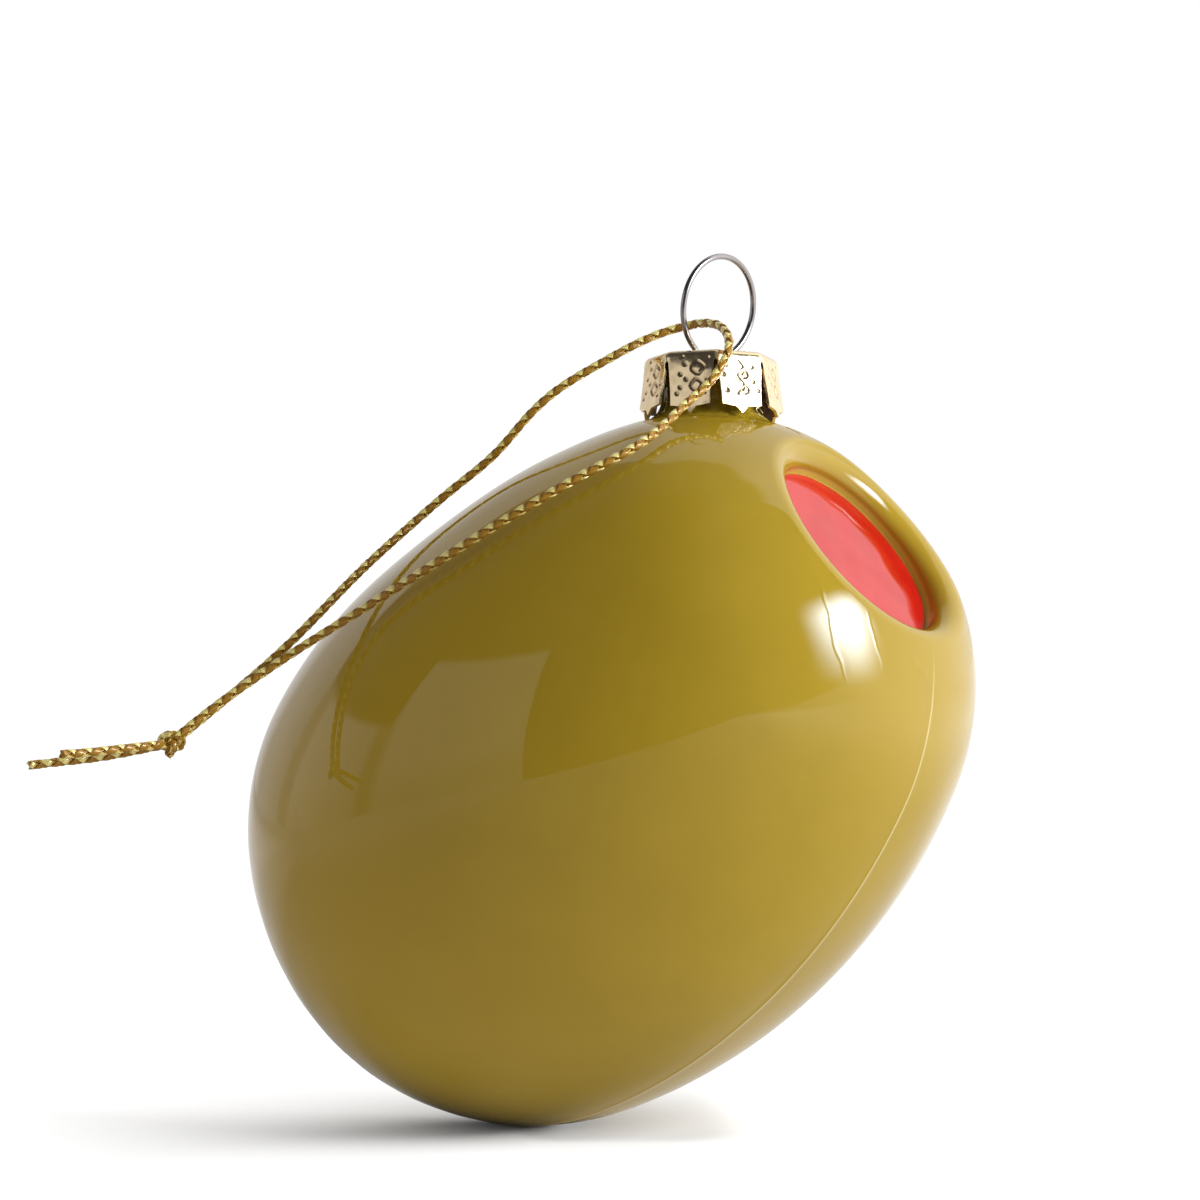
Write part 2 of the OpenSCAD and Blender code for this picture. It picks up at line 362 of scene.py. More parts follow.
def tube(path: Array, radius: Array | float, sides: int, reference: Array | None = None) -> Array:
    """A round profile carried along a path.

    Args:
        path: points along the middle.
        radius: one radius, or one for each point.
        sides: points round the profile.
        reference: direction that the path never runs along.
    Returns:
        A grid of rows along and columns round.
    """
    _, n, b = frames(path, reference)
    turn = np.linspace(0, 2 * np.pi, sides, endpoint=False)[None, :, None]
    wide = np.broadcast_to(np.asarray(radius, float), (len(path),))[:, None, None]
    return path[:, None] + wide * (np.cos(turn) * n[:, None] + np.sin(turn) * b[:, None])


class Graph:
    """A short way to add and join nodes in a tree."""

    def __init__(self, tree: bpy.types.NodeTree) -> None:
        """Keeps the tree."""
        self.tree = tree

    def add(self, kind: str, values: dict[Any, Any] | None = None, **props: Any) -> bpy.types.Node:
        """Adds a node, sets its properties, and sets or links its inputs.

        Args:
            kind: the node's type without its prefix.
            values: input name or number to a constant or an output socket.
            props: properties of the node.
        Returns:
            The node.
        """
        node = self.tree.nodes.new(f"ShaderNode{kind}")
        for name, value in props.items():
            setattr(node, name, value)
        for key, value in (values or {}).items():
            if isinstance(value, Socket):
                self.tree.links.new(value, node.inputs[key])
            else:
                node.inputs[key].default_value = value
        return node

    def link(self, value: Socket, node: bpy.types.Node, name: str) -> None:
        """Joins an output to a node's input."""
        self.tree.links.new(value, node.inputs[name])

    def math(self, operation: str, *values: Any, clamp: bool = False) -> Socket:
        """A Math node on constants and sockets."""
        return self.add("Math", dict(enumerate(values)), operation=operation, use_clamp=clamp).outputs[0]

    def times(self, first: Any, *others: Any) -> Socket:
        """The product of constants and sockets.

        Args:
            first: one of them.
            others: the rest.
        Returns:
            The product.
        """
        for other in others:
            first = self.math("MULTIPLY", first, other)
        return first

    def rest(self, share: Any) -> Socket:
        """What a share leaves of one."""
        return self.math("SUBTRACT", 1.0, share)

    def vector(self, operation: str, *values: Any) -> Socket:
        """A Vector Math node's result, which is a number for a length or a dot product.

        Args:
            operation: the node's operation.
            values: constants and sockets.
        Returns:
            The output in use.
        """
        node = self.add("VectorMath", dict(enumerate(values)), operation=operation)
        number = operation in ("DOT_PRODUCT", "LENGTH", "DISTANCE")
        return node.outputs["Value" if number else "Vector"]

    def split(self, value: Any) -> Sequence[Socket]:
        """The x, y and z of a vector."""
        return self.add("SeparateXYZ", {0: value}).outputs

    def span(self, value: Any, low: float, high: float, to_low: float = 0.0, to_high: float = 1.0) -> Socket:
        """A clamped, smooth Map Range node, from 0 to 1 unless told otherwise."""
        inputs = {0: value, 1: low, 2: high, 3: to_low, 4: to_high}
        return self.add("MapRange", inputs, interpolation_type="SMOOTHSTEP").outputs[0]

    def fall(self, value: Any, low: float, high: float) -> Socket:
        """A smooth fall from 1 to 0."""
        return self.span(value, low, high, 1.0, 0.0)

    def blend(self, factor: Any, first: Any, second: Any) -> Socket:
        """A colour Mix node."""
        return self.add("Mix", {0: factor, 6: first, 7: second}, data_type="RGBA").outputs[2]

    def noise(self, place: Any, scale: Any, detail: float, rough: float = 0.5) -> Socket:
        """A noise texture's value."""
        inputs = {"Vector": place, "Scale": scale, "Detail": detail, "Roughness": rough}
        return self.add("TexNoise", inputs).outputs[0]

    def stretched(self, place: Any, scale: Triple) -> Socket:
        """Coordinates scaled along each axis."""
        return self.add("Mapping", {"Vector": place, "Scale": scale}).outputs[0]

    def rays(self) -> tuple[Any, Socket]:
        """The Light Path outputs, and the share of rays that mirror or pass through."""
        path = self.add("LightPath").outputs
        return path, self.math("MAXIMUM", path["Is Glossy Ray"], path["Is Transmission Ray"])


@dataclass(frozen=True)
class SurfaceGroups:
    """Node groups that more than one finish uses."""

    handling: bpy.types.NodeTree
    waviness: bpy.types.NodeTree

    @classmethod
    def make(cls) -> SurfaceGroups:
        """Builds each group once."""
        return cls(handling=cls._handling(), waviness=cls._waviness())

    @staticmethod
    def _tree(
        name: str, inputs: dict[str, float], outputs: Sequence[str]
    ) -> tuple[Graph, Any, bpy.types.Node]:
        """An empty group with a vector input, number inputs and number outputs.

        Args:
            name: the group's name.
            inputs: number inputs, and their values when nothing else sets them.
            outputs: number outputs.
        Returns:
            The group's graph, the sockets of its inputs and its output node.
        """
        tree = bpy.data.node_groups.new(name, "ShaderNodeTree")
        tree.interface.new_socket("Place", in_out="INPUT", socket_type="NodeSocketVector")
        for label, value in inputs.items():
            socket = tree.interface.new_socket(label, in_out="INPUT", socket_type="NodeSocketFloat")
            socket.default_value = value
        for label in outputs:
            tree.interface.new_socket(label, in_out="OUTPUT", socket_type="NodeSocketFloat")
        return Graph(tree), tree.nodes.new("NodeGroupInput").outputs, tree.nodes.new("NodeGroupOutput")

    @classmethod
    def _handling(cls) -> bpy.types.NodeTree:
        """Faint smudges and hairline rubs of a handled gloss: a roughness and a mask.

        The smudge is a soft noise; the rub is a stretched noise cut to its highest threads.

        Returns:
            The group.
        """
        inputs = {"Least": 0.02, "Most": 0.08, "Scale": 90.0}
        g, use, out = cls._tree("handling_marks", inputs, ("Roughness", "Rub"))
        smudge = g.span(g.noise(use["Place"], use["Scale"], 4.0, 0.6), 0.35, 0.7)
        lane = g.stretched(use["Place"], (9.0, 1.0, 1.6))
        rub = g.span(g.noise(lane, 420.0, 3.0, 0.7), 0.66, 0.74)
        both = g.math("ADD", smudge, g.times(rub, 0.6), clamp=True)
        width = g.math("SUBTRACT", use["Most"], use["Least"])
        g.link(g.math("MULTIPLY_ADD", both, width, use["Least"]), out, "Roughness")
        g.link(rub, out, "Rub")
        return g.tree

    @classmethod
    def _waviness(cls) -> bpy.types.NodeTree:
        """Slow unevenness of a poured or blown surface, as a height and a shade.

        Returns:
            The group.
        """
        g, use, out = cls._tree("slow_waves", {"Scale": 60.0}, ("Height", "Shade"))
        g.link(g.noise(use["Place"], use["Scale"], 1.0, 0.4), out, "Height")
        g.link(g.noise(use["Place"], use["Scale"], 5.0, 0.62), out, "Shade")
        return g.tree


class Finish:
    """What every finish shares: a material with a Principled shader and object coordinates."""

    name: str

    def start(self) -> tuple[bpy.types.Material, Graph, bpy.types.Node, Socket]:
        """An empty node material.

        Returns:
            The material, its graph, its Principled shader and its object coordinates.
        """
        material = bpy.data.materials.new(self.name)
        material.use_nodes = True
        material.node_tree.nodes.clear()
        g = Graph(material.node_tree)
        shader = g.add("BsdfPrincipled")
        g.add("OutputMaterial", {"Surface": shader.outputs[0]})
        return material, g, shader, g.add("TexCoord").outputs["Object"]

    @staticmethod
    def group(g: Graph, tree: bpy.types.NodeTree, place: Socket, **values: float) -> Any:
        """Places a shared group with its own values, and returns its outputs."""
        return g.add("Group", {"Place": place, **values}, node_tree=tree).outputs

    @staticmethod
    def marks(g: Graph) -> Socket:
        """The three values kept on the mesh's points."""
        return g.add("Attribute", attribute_name="marks").outputs["Vector"]

    @staticmethod
    def cover(g: Graph, shader: bpy.types.Node, colour: Socket, rough: Socket) -> None:
        """Feeds a colour and a roughness to the shader."""
        g.link(colour, shader, "Base Color")
        g.link(rough, shader, "Roughness")

    @staticmethod
    def bump(g: Graph, shader: bpy.types.Node, height: Socket, strength: float, distance: float) -> None:
        """Feeds a height to the shader's normal."""
        node = g.add("Bump", {"Height": height, "Strength": strength, "Distance": distance})
        g.link(node.outputs[0], shader, "Normal")


@dataclass(frozen=True)
class OliveGlass(Finish):
    """Clear blown glass with an opaque olive lacquer behind it; places are in metres."""

    name: str = "olive_glass"
    deep: Colour = (0.395, 0.254, 0.0165, 1.0)
    pale: Colour = (0.44, 0.287, 0.0215, 1.0)
    rubbed: Colour = (0.75, 0.68, 0.5, 1.0)
    rub_share: float = 0.03
    # The mould's seam is a ridge in the mesh; its pale line, low on the olive, is a painted highlight.
    seam: Colour = (0.78, 0.66, 0.33, 1.0)
    seam_plane: Triple = (0.5736, 0.8067, -0.1422)
    seam_offset: float = 0.000268
    seam_edge: Pair = (0.00004, 0.00018)
    seam_levels: Pair = (-0.046, -0.036)
    seam_highlight_share: float = 0.6
    # Painted light: a pale ring at the foot of the dimple's wall, standing in for the light and reflection
    # there.
    thin: Colour = (0.58, 0.50, 0.07, 1.0)
    dimple_middle: Triple = (0.01234, -0.0135, -0.02866)
    dimple_axis: Triple = (0.6791, -0.3712, 0.6333)
    light_ring_out: Pair = (0.0108, 0.0114)
    light_ring_foot: Pair = (-0.003, -0.0025)
    light_ring_top: Pair = (-0.0001, 0.0004)
    index: float = 1.52
    wave: float = 0.12
    relief: float = 0.0006
    crease: float = 0.03
    crease_width: float = 0.00026
    crease_wander: float = 0.0014
    crease_taper: float = 0.55
    creases: tuple[tuple[Triple, Triple, float], ...] = (
        ((0.0098, -0.0285, -0.0352), (0.966, 0.0, 0.25), 0.0062),
        ((0.0141, -0.0263, -0.0366), (0.96, 0.0, 0.28), 0.0034),
        ((0.0186, -0.0225, -0.0392), (0.86, 0.0, 0.51), 0.0028),
    )
    crinkle: float = 0.55
    crinkle_reach: Pair = (0.0066, 0.0094)
    neck_foot: Triple = (-0.0014, -0.0013, -0.0150)

    def _creases(self, g: Graph, place: Socket) -> Socket:
        """Height of a few short wrinkles in the glass.

        Each is a ridge along a plane through its middle, which wanders with a noise and dies
        out at its reach.

        Args:
            g: the material's graph.
            place: object coordinates.
        Returns:
            The height, 0 to 1.
        """
        wander = g.times(g.math("SUBTRACT", g.noise(place, 240.0, 1.0), 0.5), self.crease_wander)
        total: Any = 0.0
        for middle, across, reach in self.creases:
            away = g.vector("SUBTRACT", place, middle)
            aside = g.math("ADD", g.vector("DOT_PRODUCT", away, across), wander)
            line = g.fall(g.math("ABSOLUTE", aside), 0.0, self.crease_width)
            ends = g.fall(g.vector("LENGTH", away), self.crease_taper * reach, reach)
            total = g.math("MAXIMUM", total, g.times(line, ends))
        return total

    def _seam_highlight(self, g: Graph, place: Socket) -> Socket:
        """Share of the pale line along the mould's seam, under the olive only: a painted highlight on the
        seam's ridge.

        Args:
            g: the material's graph.
            place: object coordinates.
        Returns:
            The share.
        """
        across = g.vector("DOT_PRODUCT", place, self.seam_plane)
        aside = g.math("ABSOLUTE", g.math("SUBTRACT", across, self.seam_offset))
        low = g.span(g.split(place)[2], *self.seam_levels, self.seam_highlight_share, 0.0)
        return g.times(low, g.fall(aside, *self.seam_edge))

    def _painted_light_ring(self, g: Graph, place: Socket) -> Socket:
        """Share of the pale ring round the foot of the dimple's wall, which is painted light.

        Args:
            g: the material's graph.
            place: object coordinates.
        Returns:
            The share.
        """
        away = g.vector("SUBTRACT", place, self.dimple_middle)
        up = g.vector("DOT_PRODUCT", away, self.dimple_axis)
        out = g.vector("LENGTH", g.vector("CROSS_PRODUCT", away, self.dimple_axis))
        return g.times(g.fall(out, *self.light_ring_out), g.span(up, *self.light_ring_foot), g.fall(up, *self.light_ring_top))

    def _crinkles(self, g: Graph, place: Socket) -> Socket:
        """Height of the puckered glass round the neck's foot.

        Args:
            g: the material's graph.
            place: object coordinates.
        Returns:
            The height.
        """
        away = g.vector("DISTANCE", place, self.neck_foot)
        near = g.span(away, *self.crinkle_reach, self.crinkle, 0.0)
        return g.times(near, g.noise(place, 620.0, 1.5))

    def material(self, groups: SurfaceGroups) -> bpy.types.Material:
        """The lacquer's cloudy colour under a smooth, faintly wavy gloss.

        Args:
            groups: shared node groups.
        Returns:
            The material.
        """
        material, g, shader, place = self.start()
        waves = self.group(g, groups.waviness, place, Scale=34.0)
        marks = self.group(g, groups.handling, place, Least=0.02, Most=0.045, Scale=120.0)
        colour = g.blend(g.span(waves["Shade"], 0.3, 0.7), self.deep, self.pale)
        # Painted highlight: the pale line along the mould's seam.
        colour = g.blend(self._seam_highlight(g, place), colour, self.seam)
        # Painted light: the pale ring at the foot of the dimple's wall.
        colour = g.blend(self._painted_light_ring(g, place), colour, self.thin)
        colour = g.blend(g.times(marks["Rub"], self.rub_share), colour, self.rubbed)
        self.cover(g, shader, colour, marks["Roughness"])
        shader.inputs["IOR"].default_value = self.index
        slow = g.times(waves["Height"], self.wave)
        height = g.math("MULTIPLY_ADD", self._creases(g, place), self.crease, slow)
        height = g.math("ADD", height, self._crinkles(g, place))
        self.bump(g, shader, height, 1.0, self.relief)
        return material


@dataclass(frozen=True)
class CloudyPaint(Finish):
    """Paint of two close tones with slow ripples in its gloss."""

    name: str
    deep: Colour
    pale: Colour
    index: float
    waves: float
    cloud: Pair
    smudges: float
    rough: Pair
    ripple: Pair

    def material(self, groups: SurfaceGroups) -> bpy.types.Material:
        """The two tones as a cloud, under the ripples.

        Args:
            groups: shared node groups.
        Returns:
            The material.
        """
        material, g, shader, place = self.start()
        waves = self.group(g, groups.waviness, place, Scale=self.waves)
        least, most = self.rough
        marks = self.group(g, groups.handling, place, Least=least, Most=most, Scale=self.smudges)
        colour = g.blend(g.span(waves["Shade"], *self.cloud), self.deep, self.pale)
        self.cover(g, shader, colour, marks["Roughness"])
        shader.inputs["IOR"].default_value = self.index
        self.bump(g, shader, waves["Height"], *self.ripple)
        return material


RED_ENAMEL = CloudyPaint(
    name="red_enamel", deep=(0.505, 0.007, 0.005, 1.0), pale=(0.58, 0.011, 0.008, 1.0), index=1.53,
    waves=240.0, cloud=(0.32, 0.68), smudges=300.0, rough=(0.03, 0.07), ripple=(0.25, 0.0002),
)
# The crown's inner face: its dark brown is painted shade inside the cap.
CAP_INSIDE_SHADE = CloudyPaint(
    name="cap_inside_shade", deep=(0.10, 0.035, 0.012, 1.0), pale=(0.19, 0.085, 0.03, 1.0), index=1.5,
    waves=600.0, cloud=(0.35, 0.7), smudges=900.0, rough=(0.4, 0.6), ripple=(0.2, 0.00005),
)


@dataclass(frozen=True)
class GiltSheet(Finish):
    """Pale gold plating on thin pressed sheet, darker in its hollows."""

    name: str = "gilt_sheet"
    bright: Colour = (0.98, 0.79, 0.50, 1.0)
    hollow: Colour = (0.40, 0.24, 0.10, 1.0)
    tarnish: Colour = (0.62, 0.46, 0.24, 1.0)
    hollow_share: float = 0.55
    tarnish_share: float = 0.18

    def material(self, groups: SurfaceGroups) -> bpy.types.Material:
        """Metal whose tone follows the pressed depth kept on the points.

        Args:
            groups: shared node groups.
        Returns:
            The material.
        """
        material, g, shader, place = self.start()
        marks = self.group(g, groups.handling, place, Least=0.13, Most=0.3, Scale=700.0)
        waves = self.group(g, groups.waviness, place, Scale=900.0)
        depth = g.split(self.marks(g))[0]
        colour = g.blend(g.span(depth, 0.15, 0.9, 0.0, self.hollow_share), self.bright, self.hollow)
        dull = g.span(waves["Shade"], 0.45, 0.75, 0.0, self.tarnish_share)
        self.cover(g, shader, g.blend(dull, colour, self.tarnish), marks["Roughness"])
        shader.inputs["Metallic"].default_value = 1.0
        self.bump(g, shader, waves["Height"], 0.25, 0.00006)
        return material


@dataclass(frozen=True)
class SpringSteel(Finish):
    """Drawn, bright-plated spring wire."""

    name: str = "spring_steel"
    bright: Colour = (0.44, 0.41, 0.41, 1.0)
    drawn: Colour = (0.25, 0.225, 0.225, 1.0)

    def material(self, groups: SurfaceGroups) -> bpy.types.Material:
        """Metal with fine lines drawn along the wire, from the points' own lengthwise marks.

        Args:
            groups: shared node groups.
        Returns:
            The material.
        """
        material, g, shader, place = self.start()
        marks = self.group(g, groups.handling, place, Least=0.1, Most=0.26, Scale=500.0)
        lines = g.noise(g.stretched(self.marks(g), (0.4, 9.0, 9.0)), 1.0, 3.0, 0.6)
        self.cover(g, shader, g.blend(g.span(lines, 0.4, 0.7), self.bright, self.drawn), marks["Roughness"])
        shader.inputs["Metallic"].default_value = 1.0
        self.bump(g, shader, lines, 0.2, 0.00003)
        return material


@dataclass(frozen=True)
class GiltFoil(Finish):
    """Gold foil strands of a plaited cord, with painted brown shade and reflection where strands pass under
    each other, at their edges and on one hand's ribbons.
    """

    name: str = "gilt_foil"
    crest: Colour = (1.0, 0.84, 0.26, 1.0)
    # Painted shade and reflection: the brown where a strand rides low.
    shade_brown: Colour = (0.38, 0.18, 0.014, 1.0)
    worn: Colour = (0.55, 0.36, 0.06, 1.0)
    worn_share: float = 0.25
    metal: float = 0.1
    film_gloss: float = 0.1
    film_index: float = 1.85

    def material(self, groups: SurfaceGroups) -> bpy.types.Material:
        """Foil whose tone and clear film follow how high a strand rides, with threads along it; the tone is
        painted shade.

        Args:
            groups: shared node groups.
        Returns:
            The material.
        """
        material, g, shader, place = self.start()
        marks = self.group(g, groups.handling, place, Least=0.2, Most=0.36, Scale=1500.0)
        weave = self.marks(g)
        height = g.split(weave)[2]
        threads = g.noise(g.stretched(weave, (3.0, 26.0, 0.0)), 1.0, 2.0)
        # Painted shade and reflection: brown where a strand rides low, gold where it rides high.
        colour = g.blend(g.span(height, 0.2, 0.62), self.shade_brown, self.crest)
        colour = g.blend(g.span(threads, 0.45, 0.75, 0.0, self.worn_share), colour, self.worn)
        self.cover(g, shader, colour, marks["Roughness"])
        shader.inputs["Metallic"].default_value = self.metal
        g.link(g.span(height, 0.3, 0.62), shader, "Coat Weight")
        shader.inputs["Coat Roughness"].default_value = self.film_gloss
        shader.inputs["Coat IOR"].default_value = self.film_index
        self.bump(g, shader, threads, 0.3, 0.00004)
        return material


def dress(obj: bpy.types.Object, *materials: bpy.types.Material) -> None:
    """Puts materials into a piece's slots in order."""
    for material in materials:
        obj.data.materials.append(material)


def seat(obj: bpy.types.Object, body: Body, slot: str, *nodes: str) -> None:
    """Rides a piece on its body in place of the nodes it stands for.

    Args:
        obj: the piece.
        body: the body it moves with.
        slot: the record's material slot; not used.
        nodes: nodes of the frame that it replaces.
    """
    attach(obj, body.value)
    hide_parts(*nodes)
    LOG.info("%s: %d faces on %s", obj.name, len(obj.data.polygons), body.value)


@dataclass
class GlassOlive:
    """The hollow olive with its dimple, lip and neck, blown in one piece."""

    widest: float = 30.5
    front: float = 42.5
    back: float = 38.5
    front_end: float = 27.0
    back_end: float = 29.0
    tilt: float = 34.0
    neck_offset: float = 13.8
    seat_height: float = 41.1508
    wall: float = 0.9
    dimple: float = 10.4
    lip: float = 1.85
    lip_level: float = 37.465
    floor_level: float = 35.8866
    floor_fillet: float = 0.7
    neck: float = 5.0
    neck_fillet: float = 1.8
    neck_ring: float = 12.5
    around: int = 200
    along: int = 150
    seam_height: float = 0.1
    seam_width: float = 0.2
    front_near: float = 0.0016
    front_pack: float = 67.5
    back_near: float = 0.12
    back_pack: float = 9.0
    even_pack: float = 5.0
    ring_pack: float = 2.0
    samples: int = 12000
    seam_fade: Pair = (0.16, 0.04)
    floor_hub: float = 0.6
    floor_rows: int = 8
    fillet_rows: int = 7
    lip_rows: int = 21
    shoulder_guess: float = -5.5
    foot_rows: int = 8
    bend_rows: int = 11
    neck_rows: int = 5
    rim_rows: int = 6
    far_side: Triple = (-0.484, 0.5, 0.718)
    far_drop: float = 0.52
    far_spread: Pair = (-3.0, 12.0)
    press_floor: float = 0.45
    press_rim: float = 0.2
    press_inside: Pair = (30.0, 34.0)
    press_outside: Pair = (14.0, 34.0)
    press_beside: Pair = (6.8, 19.0)
    flat_beside: Pair = (6.8, 15.0)
    flats: tuple[tuple[Triple, float, float], ...] = (
        ((-0.350, -0.425, 0.835), 0.9, 27.0),
        ((-0.783, -0.458, -0.421), 0.45, 22.0),
    )

    @property
    def centre(self) -> Array:
        """Middle of the olive about the neck."""
        return np.array([-self.neck_offset, 0.0, -self.seat_height])

    @property
    def axis(self) -> Array:
        """Long axis of the olive, towards the dimple."""
        return rotation("y", -self.tilt) @ np.array([1.0, 0.0, 0.0])

    @property
    def up(self) -> Array:
        """Direction square to the axis in the plane of the neck."""
        return rotation("y", -self.tilt) @ np.array([0.0, 0.0, 1.0])

    @staticmethod
    def _half(angle: Array, half: float, end: float, widest: float) -> Array:
        """Distance of one half's section from the middle, at an angle from its pole.

        The section is an end arc about a point on the axis that runs tangent into a side
        arc about a point beyond the axis; each distance is where a ray from the middle
        meets that circle.

        Args:
            angle: angles from the pole.
            half: length of the half along the axis.
            end: radius of the end arc.
            widest: radius at the middle.
        Returns:
            One distance for each angle.
        """
        shift = half - end
        side = (shift**2 + widest**2 - end**2) / (2 * (widest - end))
        drop = side - widest
        meet = side * shift / (side - end)
        turn = math.atan2(math.sqrt(end**2 - (meet - shift) ** 2), meet)
        s, c = np.sin(angle), np.cos(angle)
        on_end = shift * c + np.sqrt(np.maximum(end**2 - (shift * s) ** 2, 0))
        on_side = -drop * s + np.sqrt(np.maximum(side**2 - (drop * c) ** 2, 0))
        return np.where(angle < turn, on_end, on_side)

    def reach(self, direction: Array) -> Array:
        """Distance from the middle to the olive's plain surface along unit directions.

        Args:
            direction: unit vectors, with x, y and z on the last axis.
        Returns:
            One distance for each direction.
        """
        angle = np.arccos(np.clip(direction @ self.axis, -1, 1))
        front = self._half(np.minimum(angle, np.pi / 2), self.front, self.front_end, self.widest)
        back = self._half(np.minimum(np.pi - angle, np.pi / 2), self.back, self.back_end, self.widest)
        return np.where(angle < np.pi / 2, front, back)

    def drop_on(self, x: Array, y: Array) -> Array:
        """Height of the plain surface under points of the neck's plane, by a few Newton steps.

        Args:
            x: places across the neck's plane.
            y: places square to x.
        Returns:
            The heights.
        """
        z = np.full(np.shape(x), self.shoulder_guess)
        for _ in range(8):
            ray = np.stack([x, y, z], axis=-1) - self.centre
            far = np.linalg.norm(ray, axis=-1)
            z = z - (far - self.reach(ray / far[..., None])) * far / ray[..., 2]
        return z

    def relax(self, points: Array) -> Array:
        """Points of the drawn form, moved to where the hand-blown glass lies.

        The far side of the lip is pressed down along the olive's axis, fading round the lip,
        towards the neck and down the outside; the shoulder is flatter on its plain side.

        Args:
            points: x, y and z on the last axis.
        Returns:
            The moved points.
        """
        rel = points - self.centre
        s = rel @ self.axis
        r = np.linalg.norm(rel - s[..., None] * self.axis, axis=-1)
        wall = ease(s, self.floor_level + self.press_floor, self.lip_level + self.lip - self.press_rim)
        beside = np.hypot(points[..., 0], points[..., 1])
        outside = ease(s, *self.press_outside) * ease(beside, *self.press_beside)
        press = np.where(r < self.dimple + self.lip, wall * ease(s, *self.press_inside), outside)
        press = self.far_drop * ease(rel @ np.array(self.far_side), *self.far_spread) * press
        away = unit(rel)
        flatten = np.zeros(rel.shape[:-1])
        for side, drop, wide in self.flats:
            angle = np.degrees(np.arccos(np.clip(away @ np.array(side), -1, 1)))
            flatten = flatten + drop * np.exp(-((angle / wide) ** 2)) * ease(beside, *self.flat_beside)
        return points - press[..., None] * self.axis - flatten[..., None] * away

    def _lip_angle(self) -> float:
        """Slope at which the lip's circle touches the end arc."""
        return math.atan2(self.dimple + self.lip, self.lip_level - (self.front - self.front_end))

    def _shoulder(self) -> Array:
        """The plain surface between the lip and the neck, as rings from one to the other.

        Directions from the middle are mapped to a plane by stereographic projection, where
        the lip and a ring round the neck are two circles. Their bipolar coordinates carry
        one circle smoothly into the other round the whole olive, and column 0 and the
        middle column lie in the mould's parting plane.

        Returns:
            Rings by places round them, as points.
        """
        slope = self._lip_angle()
        shift = self.front - self.front_end
        lip = math.atan2(self.front_end * math.sin(slope), shift + self.front_end * math.cos(slope))
        height = self.drop_on(np.array(0.0), np.array(0.0))
        ray = unit(np.array([0.0, 0.0, float(height)]) - self.centre)
        neck = math.acos(float(ray @ self.axis))
        ring = math.radians(self.neck_ring)
        middle = (lip + neck - ring) / 2
        low = np.tan(np.array([-lip - middle, lip - middle]) / 2)
        high = np.tan(np.array([neck - ring - middle, neck + ring - middle]) / 2)
        c1, r1 = low.mean(), np.ptp(low) / 2
        c2, r2 = high.mean(), np.ptp(high) / 2
        total = (c1**2 - c2**2 - r1**2 + r2**2) / (c1 - c2)
        product = r1**2 - c1**2 + c1 * total
        gap = math.sqrt(total**2 / 4 - product)
        p, q = total / 2 - gap, total / 2 + gap
        start = math.log(abs((low[1] - p) / (low[1] - q)))
        end = math.log(abs((high[0] - p) / (high[0] - q)))
        width = 2 * gap
        places = np.linspace(-np.pi, np.pi, 2 * self.samples + 1)
        density = 1 / (places**2 + width**2)
        density = density + self.front_pack / width * np.exp(-np.abs(places) / self.front_near)
        turned = (np.abs(places) - np.pi) / self.back_near
        density = density + self.even_pack + self.back_pack * np.exp(-(turned**2))
        u = spread(density, places, self.around + 1)[:-1]
        levels = np.linspace(start, end, self.samples + 1)
        v = spread(1 / (levels**2 + width**2) + self.ring_pack, levels, self.along)
        w = np.exp(v[:, None] + 1j * u[None, :])
        z = (p - q * w) / (1 - w + 1e-12)
        size = np.abs(z) ** 2
        front = math.cos(middle) * self.axis + math.sin(middle) * self.up
        aside = math.cos(middle) * self.up - math.sin(middle) * self.axis
        direction = (1 - size)[..., None] * front + 2 * z.real[..., None] * aside
        direction = (direction + 2 * z.imag[..., None] * ASIDE) / (1 + size)[..., None]
        far = self.reach(direction)
        share = np.linspace(0, 1, self.along)
        fade = ease(share, 0.0, self.seam_fade[0]) * ease(1 - share, 0.0, self.seam_fade[1])
        offset = far * direction[..., 1]
        seam = self.seam_height * np.exp(-((offset / self.seam_width) ** 2)) * fade[:, None]
        return self.centre + (far + seam)[..., None] * direction

    def _dimple_rings(self, ring: Array) -> Array:
        """Rings from the floor's middle up the wall and over the lip, ending short of a ring.

        The profile turns about the olive's axis: a flat floor, a small fillet, an upright
        wall, and the lip's arc until it runs tangent into the end arc.

        Args:
            ring: the shoulder's first ring, which sets the places round the axis.
        Returns:
            The rings, as points.
        """
        rel = ring - self.centre
        turn = np.arctan2(rel[:, 1], rel @ self.up)
        fillet = np.radians(np.linspace(90, 0, self.fillet_rows))
        r_fillet = self.dimple - self.floor_fillet + self.floor_fillet * np.cos(fillet)
        s_fillet = self.floor_level + self.floor_fillet - self.floor_fillet * np.sin(fillet)
        over = np.linspace(-np.pi / 2, self._lip_angle(), self.lip_rows + 1)[:-1]
        r_lip = self.dimple + self.lip + self.lip * np.sin(over)
        s_lip = self.lip_level + self.lip * np.cos(over)
        r_floor = np.linspace(self.floor_hub, self.dimple - self.floor_fillet, self.floor_rows + 1)[:-1]
        r = np.concatenate([r_floor, r_fillet, r_lip])
        s = np.concatenate([np.full(len(r_floor), self.floor_level), s_fillet, s_lip])
        out = np.cos(turn)[:, None] * self.up + np.sin(turn)[:, None] * ASIDE
        return self.centre + s[:, None, None] * self.axis + r[:, None, None] * out[None]

